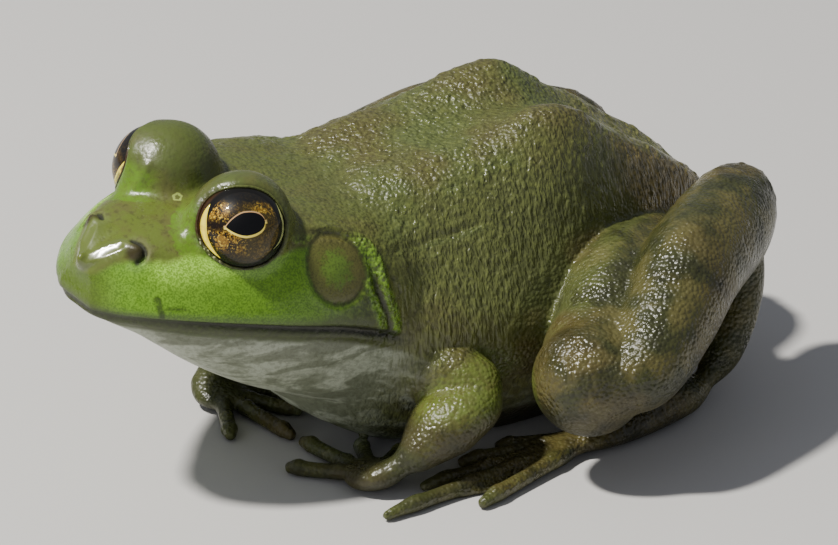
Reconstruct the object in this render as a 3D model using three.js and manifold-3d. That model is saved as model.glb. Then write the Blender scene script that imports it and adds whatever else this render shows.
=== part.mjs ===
// An adult American bullfrog (Lithobates catesbeianus), life size, sitting at rest with its head turned a
// little to its left, its hands turned in and its hind legs folded: knees out to the sides, heels raised
// beside the rump.
//
// Millimetres, +Z up. The snout points to -Y and the frog's left side is +X. The origin is on the floor under
// the hump of the back, in the flat that the belly rests on.
//
// The body is one lofted form that thin cuts part into head, lower jaw, trunk and rump. Each limb is a chain
// of lofts, and each link is hollowed by its neighbour, grown by the gap, so that they meet without touching.
import * as THREE from "three";
import { mergeVertices } from "three/addons/utils/BufferGeometryUtils.js";
import Module from "manifold-3d";

const wasm = await Module();
wasm.setup();

// ---- Driving dimensions ----
const GAP = 0.3; // between neighbouring pieces
const HEAD_LENGTH = 43; // snout to the corners of the jaw
const EYE_RADIUS = 7.0;
const EYELID_RADIUS = 8.0;
const EARDRUM_RADIUS = 5.0;
const EARDRUM_THICKNESS = 1.5;
const NOSTRIL_RADIUS = 0.9;
const WEB_THICKNESS = 1.0;
const FLOOR_SINK = 0.35; // how far the belly presses into the floor to make its flat
const DIGIT_RADIUS = 1.5;

const BODY_COLUMNS = 24;
const BODY_ROWS = 17;
const LIMB_COLUMNS = 12;
const LIMB_ROWS = 9;
const DIGIT_COLUMNS = 6;
const DIGIT_ROWS = 5;

const HEAD_POSE = {
  jawCentre: [2.4, -43.3, 27.8], // where the middle of the jaw corners sits
  yaw: 8.5, // degrees, to the left
  pitch: 9, // snout up
  roll: 8, // left side down
};
const NECK_Y = 47.5; // where the head ends, behind the snout
const WAIST_Y = 3; // the cut between trunk and rump, at the hump
const TRUNK_LEAN = 4.5; // degrees that the back leans to the left

// Points of the head are measured from the mouth line at the snout: +Y back along the head, +Z up.
const EYE = { at: [10.45, 22, 15.3], gaze: [0.726, -0.557, 0.404] };
// The bulge of lid that carries each eye: how far it sits behind the eye (the right lid is half lowered), how
// far above it, and its stretch back and up.
const EYELID = { inset: { left: 2.3, right: 1.9 }, lift: 0.3, stretch: [1, 1.08, 1.1] };
const EARDRUM = { at: [19.75, 34.8, 11], facing: [0.87, -0.25, 0.42] };
const NOSTRIL = { at: [6.5, 7.9, 10.7] };

// Profiles of the head at each y: out is from the middle, up is from the mouth line. The crest is the rounded
// edge that runs from the nostril past the eye to the back, and the lip is the widest line, at the mouth.
const HEAD_PROFILES = {
  y: [1.4, 3.6, 8, 14, 21, 29, 37, 45, 53],
  top: [6.4, 9.3, 12.0, 13.8, 15.2, 16.2, 16.8, 17.0, 16.2],
  crest: {
    out: [1.9, 4.0, 6.3, 8.0, 10.0, 13.6, 16.0, 16.8, 15.6],
    up: [5.9, 8.6, 11.4, 13.2, 15.0, 15.8, 15.7, 15.3, 14.4],
  },
  cheek: {
    out: [3.1, 6.7, 10.8, 14.2, 17.0, 19.6, 21.2, 22.2, 21.8],
    up: [4.2, 5.4, 6.8, 8.0, 8.8, 9.4, 9.6, 9.4, 8.6],
  },
  lip: {
    out: [3.9, 7.8, 12.4, 16.0, 18.9, 21.2, 22.8, 23.8, 23.2],
    up: [0.9, 1.5, 2.4, 2.8, 2.9, 2.6, 2.2, 0.9, -1.0],
  },
  jowl: {
    out: [2.8, 5.6, 8.6, 11.4, 13.8, 16.2, 17.8, 18.6, 17],
    up: [-0.2, -0.8, -1.8, -4.2, -7.2, -9.8, -11.6, -13.4, -14],
  },
  bottom: [-0.4, -1.2, -2.6, -6.0, -10.0, -13.6, -16.2, -18.2, -18.6],
};
// The height of the mouth at each y of those profiles.
const MOUTH = [0.5, 1.2, 2.1, 2.5, 2.6, 2.3, 1.9, 0.5, -1.4];
// Profiles of the trunk at each y. The ridge is the fold down each side of the back, highest at the hump, and
// the flank is the widest line of each side.
const TRUNK_PROFILES = {
  y: [-52, -44, -33, -14, 0, 11, 22, 31, 37],
  top: [34.0, 41.0, 45.0, 46.6, 47.2, 41.8, 35.4, 29.4, 23.4],
  ridge: {
    out: [6.0, 9.6, 11.0, 11.6, 10.2, 9.4, 8.4, 6.6, 4.0],
    up: [33.6, 40.4, 44.6, 47.2, 50.6, 44.0, 36.8, 30.0, 23.0],
  },
  shoulder: {
    out: [10.6, 16.7, 20.2, 22.2, 20.2, 17.2, 13.2, 9.5, 5.5],
    up: [30.3, 33.2, 34.3, 33.6, 34.3, 30.3, 26.5, 22.3, 18.6],
  },
  flank: {
    out: [13.0, 20.4, 25.0, 27.6, 25.4, 21.2, 15.6, 11.0, 6.2],
    up: [27, 26, 24, 20, 18, 17, 17.5, 16.5, 15.6],
  },
  belly: {
    out: [8.0, 13.0, 16.5, 17.5, 16.5, 14.0, 11.0, 7.6, 4.4],
    up: [15.0, 8.6, 3.2, 0.2, 0, 0, 0.4, 3.6, 9.6],
  },
  bottom: [14.0, 7.4, 2.0, -FLOOR_SINK, -FLOOR_SINK, -FLOOR_SINK, -FLOOR_SINK, 2.6, 8.8],
};

// inward: how far the hand turns in from straight ahead, in degrees.
const ARMS = {
  left: {
    shoulder: [18.5, -34.5, 17.6],
    elbow: [33.6, -22.8, 13.6],
    forearm: [31.8, -31.2, 10.4],
    wrist: [32.0, -40.6, 5.2],
    palm: [27.2, -42.2, 2.1],
    inward: 88,
  },
  right: {
    shoulder: [-14.4, -37, 18.6],
    elbow: [-27.4, -28.6, 14.6],
    forearm: [-22.0, -37.4, 10.6],
    wrist: [-16.2, -46.2, 5.2],
    palm: [-11.4, -47.0, 2.1],
    inward: 102,
  },
};
// turn: from the middle of the hand towards the thumb's side, in degrees; length: from the palm's middle.
const FINGERS = [
  { turn: 56, length: 12.5 },
  { turn: 25, length: 14 },
  { turn: -4, length: 18.5 },
  { turn: -36, length: 14.5 },
];

const LEGS = {
  left: {
    hip: [9, 25.5, 18.5],
    midThigh: [28.6, 3, 20.8],
    knee: [42.8, -12.5, 17.4],
    shank: [
      [47.5, -13.8, 16.8],
      [48.4, -7.0, 19.2],
      [42.8, 1.9, 24.0],
      [36.9, 10.1, 28.3],
      [27.5, 22.8, 29.2],
      [21.9, 29.2, 30.0],
      [17.9, 32.7, 31.7],
    ],
    midTarsus: [25.2, 27.8, 15.7],
    ankle: [30, 18.8, 3.6],
    ball: [33.6, -5, 2.5],
  },
  right: {
    hip: [-9, 24.5, 18.5],
    midThigh: [-27.8, 3, 19.6],
    knee: [-41.4, -10.8, 17.0],
    shank: [
      [-46.1, -12.1, 16.4],
      [-46.6, -5.6, 18.6],
      [-40.9, 3.2, 22.8],
      [-35.6, 10.6, 26.0],
      [-26.2, 22.4, 26.2],
      [-20.2, 28.2, 25.9],
      [-16.4, 31.2, 26.6],
    ],
    midTarsus: [-24.2, 28.0, 14.8],
    ankle: [-28.4, 20.8, 3.6],
    ball: [-32.8, -2.4, 2.5],
  },
};
const KNEE_RADIUS = 8.95;
const SHANK_RADII = [6.0, 6.9, 7.9, 8.2, 8.2, 7.8, 7.6]; // at each place along a shank, from knee to heel
// turn: outwards from the line of the foot, in degrees; length: past the ball of the foot.
const TOES = [
  { turn: -33, length: 16 },
  { turn: -21, length: 23 },
  { turn: -10, length: 32 },
  { turn: -2, length: 42.5 },
  { turn: 10, length: 29 },
];

const MATERIALS = {
  green: new THREE.MeshStandardMaterial({ color: 0x5f8a22, roughness: 0.4, metalness: 0 }),
  throat: new THREE.MeshStandardMaterial({ color: 0xb4b79a, roughness: 0.45, metalness: 0 }),
  olive: new THREE.MeshStandardMaterial({ color: 0x56602a, roughness: 0.42, metalness: 0 }),
  brown: new THREE.MeshStandardMaterial({ color: 0x5c5228, roughness: 0.42, metalness: 0 }),
  eardrum: new THREE.MeshStandardMaterial({ color: 0x5a5a20, roughness: 0.5, metalness: 0 }),
  eye: new THREE.MeshStandardMaterial({ color: 0x8a6a1e, roughness: 0.08, metalness: 0 }),
};

const SIDES = [
  { name: "left", side: 1 },
  { name: "right", side: -1 },
];

// ---- Solids ----
const V = (p) => new THREE.Vector3(...p);
const radians = THREE.MathUtils.degToRad;
const mirrored = ([x, y, z], side) => [x * side, y, z];
const turnedTo = (direction) =>
  new THREE.Quaternion().setFromUnitVectors(new THREE.Vector3(0, 1, 0), V(direction).normalize());

// A closed three.js geometry as a manifold-3d solid, turned right way out.
function solidOf(geometry) {
  const bare = geometry.clone();
  bare.deleteAttribute("normal");
  bare.deleteAttribute("uv");
  const merged = mergeVertices(bare, 1e-4);
  const position = merged.attributes.position;
  const faces = new Uint32Array(merged.index.array);
  const corner = (i) => new THREE.Vector3().fromBufferAttribute(position, faces[i]);
  let volume = 0;
  for (let i = 0; i < faces.length; i += 3) volume += corner(i).dot(corner(i + 1).cross(corner(i + 2)));
  return new wasm.Manifold(
    new wasm.Mesh({
      numProp: 3,
      vertProperties: new Float32Array(position.array),
      triVerts: volume > 0 ? faces : faces.reverse(),
    }),
  );
}

function geometryOf(solid) {
  const mesh = solid.getMesh();
  const geometry = new THREE.BufferGeometry();
  geometry.setAttribute("position", new THREE.BufferAttribute(new Float32Array(mesh.vertProperties), 3));
  geometry.setIndex(new THREE.BufferAttribute(new Uint32Array(mesh.triVerts), 1));
  return geometry;
}

const joined = (solids) => solids.reduce((all, solid) => all.add(solid));
const without = (solid, cutters) => cutters.reduce((left, cutter) => left.subtract(cutter), solid);

// A ball whose rows run along a form and whose columns run round it: place(row, turn), both from 0 to 1.
function wrap(rows, columns, place) {
  const ball = new THREE.SphereGeometry(1, columns, rows);
  const position = ball.attributes.position;
  for (let i = 0; i < position.count; i++) {
    const row = Math.floor(i / (columns + 1)) / rows;
    const turn = ((i % (columns + 1)) % columns) / columns;
    position.setXYZ(i, ...place(row, turn).toArray());
  }
  return ball;
}

// A loft through rings of control points: splines run along the stations and round each ring.
function ringLoft(rings, grow) {
  const lines = rings[0].map(
    (_, k) => new THREE.CatmullRomCurve3(rings.map((ring) => ring[k]), false, "centripetal"),
  );
  return wrap(BODY_ROWS, BODY_COLUMNS, (row, turn) => {
    const along = THREE.MathUtils.clamp((row * BODY_ROWS - 1) / (BODY_ROWS - 2), 0, 1);
    const points = lines.map((line) => line.getPoint(along));
    const centre = points.reduce((sum, p) => sum.add(p), new THREE.Vector3()).divideScalar(points.length);
    if (row === 0 || row === 1) return centre;
    points.forEach((p) => p.addScaledVector(p.clone().sub(centre).normalize(), grow));
    return new THREE.CatmullRomCurve3(points, true, "centripetal").getPoint(turn);
  });
}

// The loft of a set of profiles: each ring runs down the left side from the top to the bottom, and back up.
function profileLoft({ y, top, bottom, ...edges }, grow) {
  const rings = y.map((along, i) => {
    const left = Object.values(edges).map(({ out, up }) => new THREE.Vector3(out[i], along, up[i]));
    const right = left.map((p) => new THREE.Vector3(-p.x, p.y, p.z)).reverse();
    return [new THREE.Vector3(0, along, top[i]), ...left, new THREE.Vector3(0, along, bottom[i]), ...right];
  });
  return ringLoft(rings, grow);
}

// A limb's link along a smooth line through points, each { at, across, deep }, with rounded ends.
function link(points, { rows = LIMB_ROWS, columns = LIMB_COLUMNS, grow = 0, bluntness = 0.5 } = {}) {
  const line = new THREE.CatmullRomCurve3(points.map((p) => V(p.at)), false, "centripetal");
  const girth = new THREE.CatmullRomCurve3(points.map((p, i) => new THREE.Vector3(p.across, p.deep, i)));
  return wrap(rows, columns, (row, turn) => {
    const along = (1 - Math.cos(Math.PI * row)) / 2;
    const round = Math.sin(Math.PI * row) ** bluntness;
    const ahead = line.getTangent(along);
    const side = new THREE.Vector3().crossVectors(ahead, new THREE.Vector3(0, 0, 1)).normalize();
    const over = new THREE.Vector3().crossVectors(side, ahead);
    const size = girth.getPoint(along);
    const at = line.getPoint(along).addScaledVector(ahead, (along - 0.5) * 2 * grow);
    if (row === 0 || row === 1) return at;
    return at
      .addScaledVector(side, Math.cos(2 * Math.PI * turn) * (size.x * round + grow))
      .addScaledVector(over, Math.sin(2 * Math.PI * turn) * (size.y * round + grow));
  });
}

const partWay = (a, b, share) => V(a).lerp(V(b), share).toArray();

const REACH = 150; // further than any part of the frog from the origin
// Everything on one side of a level of an axis, for cutting.
function halfSpace(axis, level, sign) {
  const centre = new THREE.Vector3().setComponent(axis, level + sign * REACH);
  return new THREE.BoxGeometry(2 * REACH, 2 * REACH, 2 * REACH).translate(...centre.toArray());
}
const underFloor = solidOf(halfSpace(2, 0, -1));
const onFloor = (solid) => solid.subtract(underFloor);

// ---- The head's forms, in the head's own frame ----
const headFrame = new THREE.Matrix4()
  .makeRotationFromEuler(
    new THREE.Euler(radians(-HEAD_POSE.pitch), radians(HEAD_POSE.roll), radians(HEAD_POSE.yaw), "ZXY"),
  )
  .setPosition(...HEAD_POSE.jawCentre)
  .multiply(new THREE.Matrix4().makeTranslation(0, -HEAD_LENGTH, 0));
const inHead = (geometry) => solidOf(geometry.applyMatrix4(headFrame));

const eyeball = (grow = 0) => new THREE.SphereGeometry(EYE_RADIUS + grow, 14, 10);

function placedEyeball(side, grow) {
  const eye = eyeball(grow).applyQuaternion(turnedTo(mirrored(EYE.gaze, side)));
  return eye.translate(...mirrored(EYE.at, side));
}

function eyelidBulge(name, side) {
  const gaze = V(mirrored(EYE.gaze, side)).normalize();
  const at = V(mirrored(EYE.at, side)).addScaledVector(gaze, -EYELID.inset[name]);
  return new THREE.SphereGeometry(EYELID_RADIUS, 14, 10)
    .scale(...EYELID.stretch)
    .translate(at.x, at.y, at.z + EYELID.lift);
}

// A shallow disc, a little domed on the outside.
function eardrum(grow = 0) {
  const radius = EARDRUM_RADIUS + grow;
  const half = EARDRUM_THICKNESS / 2 + grow;
  const outline = [
    [0, -half],
    [radius * 0.8, -half],
    [radius, 0],
    [radius * 0.86, half * 0.7],
    [radius * 0.3, half],
    [0, half],
  ].map(([x, y]) => new THREE.Vector2(x, y));
  return new THREE.LatheGeometry(outline, 16);
}

function placedEardrum(side, grow) {
  const drum = eardrum(grow).applyQuaternion(turnedTo(mirrored(EARDRUM.facing, side)));
  return drum.translate(...mirrored(EARDRUM.at, side));
}

// ---- The body, whole, then parted ----
function bodyForm(grow) {
  const head = inHead(profileLoft(HEAD_PROFILES, grow));
  return head.add(solidOf(profileLoft(TRUNK_PROFILES, grow).rotateY(radians(TRUNK_LEAN))));
}
const bodyGrown = bodyForm(GAP);

const eyelids = SIDES.map(({ name, side }) => inHead(eyelidBulge(name, side)));
const sockets = SIDES.flatMap(({ side }) => [
  inHead(placedEyeball(side, GAP)),
  inHead(placedEardrum(side, GAP)),
  inHead(new THREE.SphereGeometry(NOSTRIL_RADIUS, 8, 6).translate(...mirrored(NOSTRIL.at, side))),
]);
const body = onFloor(without(joined([bodyForm(0), ...eyelids]), sockets));

// Everything below the curved line of the mouth, or the line lifted a little.
function belowMouth(lift) {
  const line = new THREE.SplineCurve(HEAD_PROFILES.y.map((y, i) => new THREE.Vector2(y, MOUTH[i] + lift)));
  const outline = line.getPoints(12);
  outline.unshift(new THREE.Vector2(-REACH, outline[0].y));
  outline.push(new THREE.Vector2(REACH, outline.at(-1).y), new THREE.Vector2(REACH, -REACH));
  outline.push(new THREE.Vector2(-REACH, -REACH));
  const slab = new THREE.ExtrudeGeometry(new THREE.Shape(outline), { depth: 2 * REACH, bevelEnabled: false });
  const axes = [new THREE.Vector3(0, 1, 0), new THREE.Vector3(0, 0, 1), new THREE.Vector3(1, 0, 0)];
  return inHead(slab.applyMatrix4(new THREE.Matrix4().makeBasis(...axes)).translate(-REACH, 0, 0));
}
const front = body.intersect(inHead(halfSpace(1, NECK_Y - GAP / 2, -1)));
const back = body.intersect(inHead(halfSpace(1, NECK_Y + GAP / 2, 1)));

const bullfrog = new THREE.Group();
const headGroup = new THREE.Group();
headGroup.applyMatrix4(headFrame);
bullfrog.add(headGroup);

function addMesh(group, name, geometry, material) {
  const mesh = new THREE.Mesh(geometry, material);
  mesh.name = name;
  group.add(mesh);
  return mesh;
}
const addSolid = (name, solid, material) => addMesh(bullfrog, name, geometryOf(solid), material);
const addHeadSolid = (name, solid, material) =>
  addMesh(headGroup, name, geometryOf(solid).applyMatrix4(headFrame.clone().invert()), material);

addHeadSolid("head", front.subtract(belowMouth(GAP / 2)), MATERIALS.green);
addHeadSolid("lower_jaw", front.intersect(belowMouth(-GAP / 2)), MATERIALS.throat);
addSolid("trunk", back.intersect(solidOf(halfSpace(1, WAIST_Y - GAP / 2, -1))), MATERIALS.olive);
addSolid("rump", back.intersect(solidOf(halfSpace(1, WAIST_Y + GAP / 2, 1))), MATERIALS.olive);

for (const { name, side } of SIDES) {
  const eye = addMesh(headGroup, `eye_${name}`, eyeball(), MATERIALS.eye);
  eye.position.set(...mirrored(EYE.at, side));
  eye.quaternion.copy(turnedTo(mirrored(EYE.gaze, side)));
  const drum = addMesh(headGroup, `eardrum_${name}`, eardrum(), MATERIALS.eardrum);
  drum.position.set(...mirrored(EARDRUM.at, side));
  drum.quaternion.copy(turnedTo(mirrored(EARDRUM.facing, side)));
}

// ---- Arms ----
// A finger or toe from its root to its tip, flattened a little on the floor.
function digit(root, heading, length) {
  const at = (share, height) => {
    const out = length * share;
    return [root[0] + heading.x * out, root[1] + heading.y * out, height];
  };
  const r = DIGIT_RADIUS;
  return link(
    [
      { at: at(0, 2.4), across: r * 1.25, deep: r * 1.2 },
      { at: at(0.35, 2.1), across: r, deep: r },
      { at: at(0.7, 1.5), across: r * 0.9, deep: r * 0.9 },
      { at: at(1, 0.9), across: r * 0.85, deep: r * 0.8 },
    ],
    { rows: DIGIT_ROWS, columns: DIGIT_COLUMNS, bluntness: 0.4 },
  );
}

// The level direction that turns inwards, towards the frog's middle, from straight ahead.
function turnedIn(degrees, side) {
  const a = radians(degrees);
  return new THREE.Vector3(-side * Math.sin(a), -Math.cos(a), 0);
}

function addArm(name, side) {
  const { shoulder, elbow, forearm, wrist, palm, inward } = ARMS[name];
  const upper = (grow) =>
    solidOf(
      link(
        [
          { at: shoulder, across: 5.6, deep: 5.8 },
          { at: partWay(shoulder, elbow, 0.55), across: 5.2, deep: 5.4 },
          { at: elbow, across: 4.6, deep: 4.8 },
        ],
        { grow },
      ),
    );
  const lower = (grow) =>
    solidOf(
      link(
        [
          { at: elbow, across: 4.6, deep: 4.6 },
          { at: forearm, across: 6.2, deep: 5.2 },
          { at: partWay(elbow, wrist, 0.85), across: 3.4, deep: 3.0 },
          { at: wrist, across: 3.2, deep: 2.6 },
        ],
        { grow },
      ),
    );
  const middle = turnedIn(inward, side);
  const palmForm = link(
    [
      { at: V(wrist).addScaledVector(middle, -1).toArray(), across: 3.0, deep: 2.6 },
      { at: palm, across: 4.8, deep: 2.3 },
      { at: V(palm).addScaledVector(middle, 4.2).toArray(), across: 3.8, deep: 1.6 },
    ],
    { rows: 7, columns: 10 },
  );
  const fingers = FINGERS.map(({ turn, length }) => digit(palm, turnedIn(inward + turn, side), length));
  const hand = joined([palmForm, ...fingers].map(solidOf));
  addSolid(`upper_arm_${name}`, upper(0).subtract(bodyGrown), MATERIALS.olive);
  addSolid(`forearm_${name}`, without(lower(0), [upper(GAP), bodyGrown]), MATERIALS.olive);
  addSolid(`hand_${name}`, onFloor(without(hand, [lower(GAP), bodyGrown])), MATERIALS.brown);
}

// ---- Legs ----
// The web's outline runs out along each toe and dips between them.
function web(ball, headings) {
  const shape = new THREE.Shape();
  shape.moveTo(ball[0] - headings[3].x * 6, ball[1] - headings[3].y * 6);
  TOES.forEach(({ length }, i) => {
    const out = length * 0.84;
    shape.lineTo(ball[0] + headings[i].x * out, ball[1] + headings[i].y * out);
    if (i === TOES.length - 1) return;
    const dipOut = Math.min(length, TOES[i + 1].length) * 0.62;
    const dip = headings[i].clone().add(headings[i + 1]).normalize().multiplyScalar(dipOut);
    shape.lineTo(ball[0] + dip.x, ball[1] + dip.y);
  });
  return new THREE.ExtrudeGeometry(shape, { depth: WEB_THICKNESS, bevelEnabled: false }).translate(0, 0, 0.2);
}

function addLeg(name, side) {
  const { hip, midThigh, knee, shank: shankLine, midTarsus, ankle, ball } = LEGS[name];
  const thigh = (grow) =>
    joined(
      [
        link(
          [
            { at: hip, across: 9.0, deep: 9.6 },
            { at: midThigh, across: 9.6, deep: 11.2 },
            { at: knee, across: 8.4, deep: 8.6 },
          ],
          { grow },
        ),
        new THREE.SphereGeometry(KNEE_RADIUS + grow, 11, 8).translate(...knee),
      ].map(solidOf),
    );
  const shank = (grow) =>
    solidOf(
      link(
        shankLine.map((at, i) => ({ at, across: SHANK_RADII[i], deep: SHANK_RADII[i] * 1.04 })),
        { grow },
      ),
    );
  const tarsus = (grow) =>
    solidOf(
      link(
        [
          { at: shankLine[5], across: 4.6, deep: 4.6 },
          { at: midTarsus, across: 3.9, deep: 3.8 },
          { at: ankle, across: 4.2, deep: 3.6 },
        ],
        { rows: 7, columns: 9, grow },
      ),
    );
  const ahead = new THREE.Vector3(ball[0] - ankle[0], ball[1] - ankle[1], 0).normalize();
  const upwards = new THREE.Vector3(0, 0, 1);
  const headings = TOES.map(({ turn }) => ahead.clone().applyAxisAngle(upwards, radians(turn * side)));
  const sole = link(
    [
      { at: ankle, across: 4.2, deep: 3.6 },
      { at: partWay(ankle, ball, 0.5), across: 4.6, deep: 3.1 },
      { at: ball, across: 5.0, deep: 2.4 },
      { at: V(ball).addScaledVector(ahead, 5).toArray(), across: 4.4, deep: 1.7 },
    ],
    { rows: 8, columns: 10 },
  );
  const toes = TOES.map(({ length }, i) => digit(ball, headings[i], length));
  const foot = joined([sole, web(ball, headings), ...toes].map(solidOf));
  addSolid(`thigh_${name}`, thigh(0).subtract(bodyGrown), MATERIALS.olive);
  addSolid(`shank_${name}`, without(shank(0), [thigh(GAP), bodyGrown]), MATERIALS.brown);
  const above = [shank(GAP), thigh(GAP), bodyGrown];
  addSolid(`ankle_${name}`, onFloor(without(tarsus(0), above)), MATERIALS.brown);
  addSolid(`foot_${name}`, onFloor(without(foot, [tarsus(GAP), ...above])), MATERIALS.brown);
}

for (const { name, side } of SIDES) {
  addArm(name, side);
  addLeg(name, side);
}

export default bullfrog;
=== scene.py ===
"""A sitting bullfrog, life size: one wet skin over the whole body, two eyes, and the lids that hold them."""
import math

import bmesh
import bpy
import numpy as np
from mathutils import Matrix, Vector, noise


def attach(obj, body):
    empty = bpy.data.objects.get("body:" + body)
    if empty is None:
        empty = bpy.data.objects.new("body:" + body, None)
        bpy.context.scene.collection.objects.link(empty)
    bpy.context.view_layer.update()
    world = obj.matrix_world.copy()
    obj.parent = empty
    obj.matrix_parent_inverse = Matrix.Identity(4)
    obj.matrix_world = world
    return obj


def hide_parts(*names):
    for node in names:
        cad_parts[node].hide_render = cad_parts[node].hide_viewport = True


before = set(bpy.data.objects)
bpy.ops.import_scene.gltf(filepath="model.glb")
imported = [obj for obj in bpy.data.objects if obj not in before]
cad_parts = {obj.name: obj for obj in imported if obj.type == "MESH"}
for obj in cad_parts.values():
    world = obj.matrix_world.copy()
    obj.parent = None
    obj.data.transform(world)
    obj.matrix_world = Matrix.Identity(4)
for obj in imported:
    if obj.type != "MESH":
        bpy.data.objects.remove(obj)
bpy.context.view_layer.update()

# ---------------------------------------------------------------- sizes, in millimetres and degrees
MM = 0.001  # Blender's units are metres

VOXEL = 0.38  # of the remesh that joins the forms into one skin
SKIN_TRIANGLES = 196000
FLOOR_SINK = 0.35

HEAD_LENGTH = 43.0
HEAD_POSE = {"jaw_centre": (2.4, -43.3, 27.8), "yaw": 8.5, "pitch": 9.0, "roll": 8.0}
TRUNK_LEAN = 4.5
BELLY_HALF_WIDTH = 19  # no limb lies nearer the middle, behind the hands

EYE_AT, EYE_RADIUS = (10.45, 22.0, 15.3), 7.0
GAZES = {"left": (0.726, -0.557, 0.404), "right": (-0.835, -0.49, 0.25)}
IRIS_GOLD = {"left": 1.0, "right": 0.35}  # the right eye's gold is held back as painted shade from its half-lowered lid
IRIS_SHADE_FROM = {"left": 0.42, "right": 0.1}  # how high up the iris is painted dark as the lid's shade and the dark sky's reflection
PUPIL_AT = {"left": (-0.0135, 0.0885), "right": (0.0865, 0.14)}
LID_RADIUS, LID_STRETCH = 8.0, (1, 1.08, 1.1)
HOOD_LIFT, MARGIN_LIFT = 0.75, 0.12  # how far the hood, and the lids' edge once opened, stand off the eye
LID_OFFSETS = {"left": (-1.67, 1.28, -0.63), "right": (1.38, 1.06, -0.47)}  # of the lid's bulge from the eye
# How far off the gaze the lids meet the eye, in degrees, at turns round it from the snout's side (0)
# over the top (90) to the back (180). The right lid is half lowered.
LIDS = {
    "left": [
        (-175, 71), (-156, 70), (-136, 66), (-115, 61), (-91, 59), (-66, 59), (-40, 63), (-24, 70), (-9, 72.5),
        (9, 73.5), (27, 74), (44, 70), (61, 64), (82, 61), (104, 64), (124, 68), (144, 70), (165, 70.5),
    ],
    "right": [
        (-175, 71), (-156, 70), (-136, 67), (-115, 63), (-91, 61), (-66, 60.5), (-45, 60), (-27, 60),
        (-10, 60.3), (0, 59.6), (9, 57.6), (20, 53.6), (32, 48), (44, 43.8), (56, 42), (73, 42.4), (84, 45.5),
        (104, 52), (124, 58), (144, 63), (165, 68),
    ],
}
EAR_AT, EAR_FACING, EAR_RADIUS = (19.75, 34.8, 11.0), (0.87, -0.25, 0.42), 4.9
EAR_DEPTH = 6  # how far off its plane the skin still belongs to the eardrum
# Lines over the head's surface, given for the left side.
NOSE_RIDGE = [(0.2, 1.7, 6.8), (1.9, 3.4, 9.0), (3.5, 5.5, 10.6), (5.4, 6.8, 11.0), (6.6, 7.2, 10.5)]
NOSTRIL = [(3.9, 6.9, 11.5), (5.2, 7.6, 11.4), (6.4, 7.6, 10.8), (6.9, 6.8, 10.0), (6.7, 6.2, 9.5)]
SNOUT_BAR = [(0.4, 1.9, 7.1), (1.9, 3.4, 9.0), (3.3, 5.3, 10.5)]  # a flat, wet facet before the nostril
BAR_FACING = (0.214, -0.693, 0.688)
CANTHUS = [(7.6, 8.4, 10.6), (9.1, 9.9, 10.6), (10.2, 12.2, 11.2)]
LID_FRONT = [(6.3, 15.9, 18.4), (6.4, 15.2, 16.0), (7.0, 14.6, 14.2), (8.6, 13.8, 12.6)]
EAR_FOLD = [
    (15.6, 29.6, 16.4), (15.8, 32.6, 16.0), (16.6, 35.4, 15.7), (17.9, 38.0, 15.2), (19.4, 39.8, 14.2),
    (20.6, 40.6, 12.4), (21.6, 41.2, 10.2), (22.6, 42.0, 7.6), (23.3, 43.6, 4.6), (23.8, 44.9, 1.6),
]
NOSTRIL_HEART = (5.3, 6.5, 10.5)
# How high the green of the lips and cheeks reaches, as (y, height).
GREEN_EDGE = [
    (0, 4.6), (1.7, 6.2), (3.4, 8.2), (5.5, 9.6), (7.5, 10.1), (10, 10.6), (12.5, 11.2), (16, 12), (24, 13),
    (29, 13.6), (36, 14.4), (42, 13.4), (45, 12),
]
BROW_SPOT = (-1.4, 18.95, 14.9)
LIP_NICK = [(11.2, 7.6, 5.2), (11.9, 7.9, 4.2), (12.5, 8.1, 3.2)]
LIP_SCRATCH = [(12.9, 9.0, 4.3), (13.7, 10.4, 4.6), (14.45, 11.7, 4.5)]
# The crease over the shoulder, on the trunk.
SHOULDER_CREASE = [
    (23.4, -38.0, 36.6), (22.9, -34.5, 37.0), (22.0, -29.0, 36.6), (21.7, -22.0, 37.0), (21.9, -15.5, 37.6),
]

# Each profile runs along y; out is from the middle, up from the mouth line (head) or the floor (trunk).
HEAD_PROFILES = {
    "y": [1.4, 3.6, 8, 14, 21, 29, 37, 45, 53],
    "top": [6.4, 9.3, 12.0, 13.8, 15.2, 16.2, 16.8, 17.0, 16.2],
    "crest": ([1.9, 4.0, 6.3, 8.0, 10.0, 13.6, 16.0, 16.8, 15.6],
              [5.9, 8.6, 11.4, 13.2, 15.0, 15.8, 15.7, 15.3, 14.4]),
    "cheek": ([3.1, 6.7, 10.8, 14.2, 17.0, 19.6, 21.2, 22.2, 21.8],
              [4.2, 5.4, 6.8, 8.0, 8.8, 9.4, 9.6, 9.4, 8.6]),
    "lip": ([3.9, 7.8, 12.4, 16.0, 18.9, 21.2, 22.8, 23.8, 23.2],
            [0.9, 1.5, 2.4, 2.8, 2.9, 2.6, 2.2, 0.9, -1.0]),
    "jowl": ([2.8, 5.6, 8.6, 11.4, 13.8, 16.2, 17.8, 18.6, 17.0],
             [-0.2, -0.8, -1.8, -4.2, -7.2, -9.8, -11.6, -13.4, -14.0]),
    "bottom": [-0.4, -1.2, -2.6, -6.0, -10.0, -13.6, -16.2, -18.2, -18.6],
}
MOUTH = [0.5, 1.2, 2.1, 2.5, 2.6, 2.3, 1.9, 0.5, -1.4]  # height of the mouth at each y of those profiles
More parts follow.
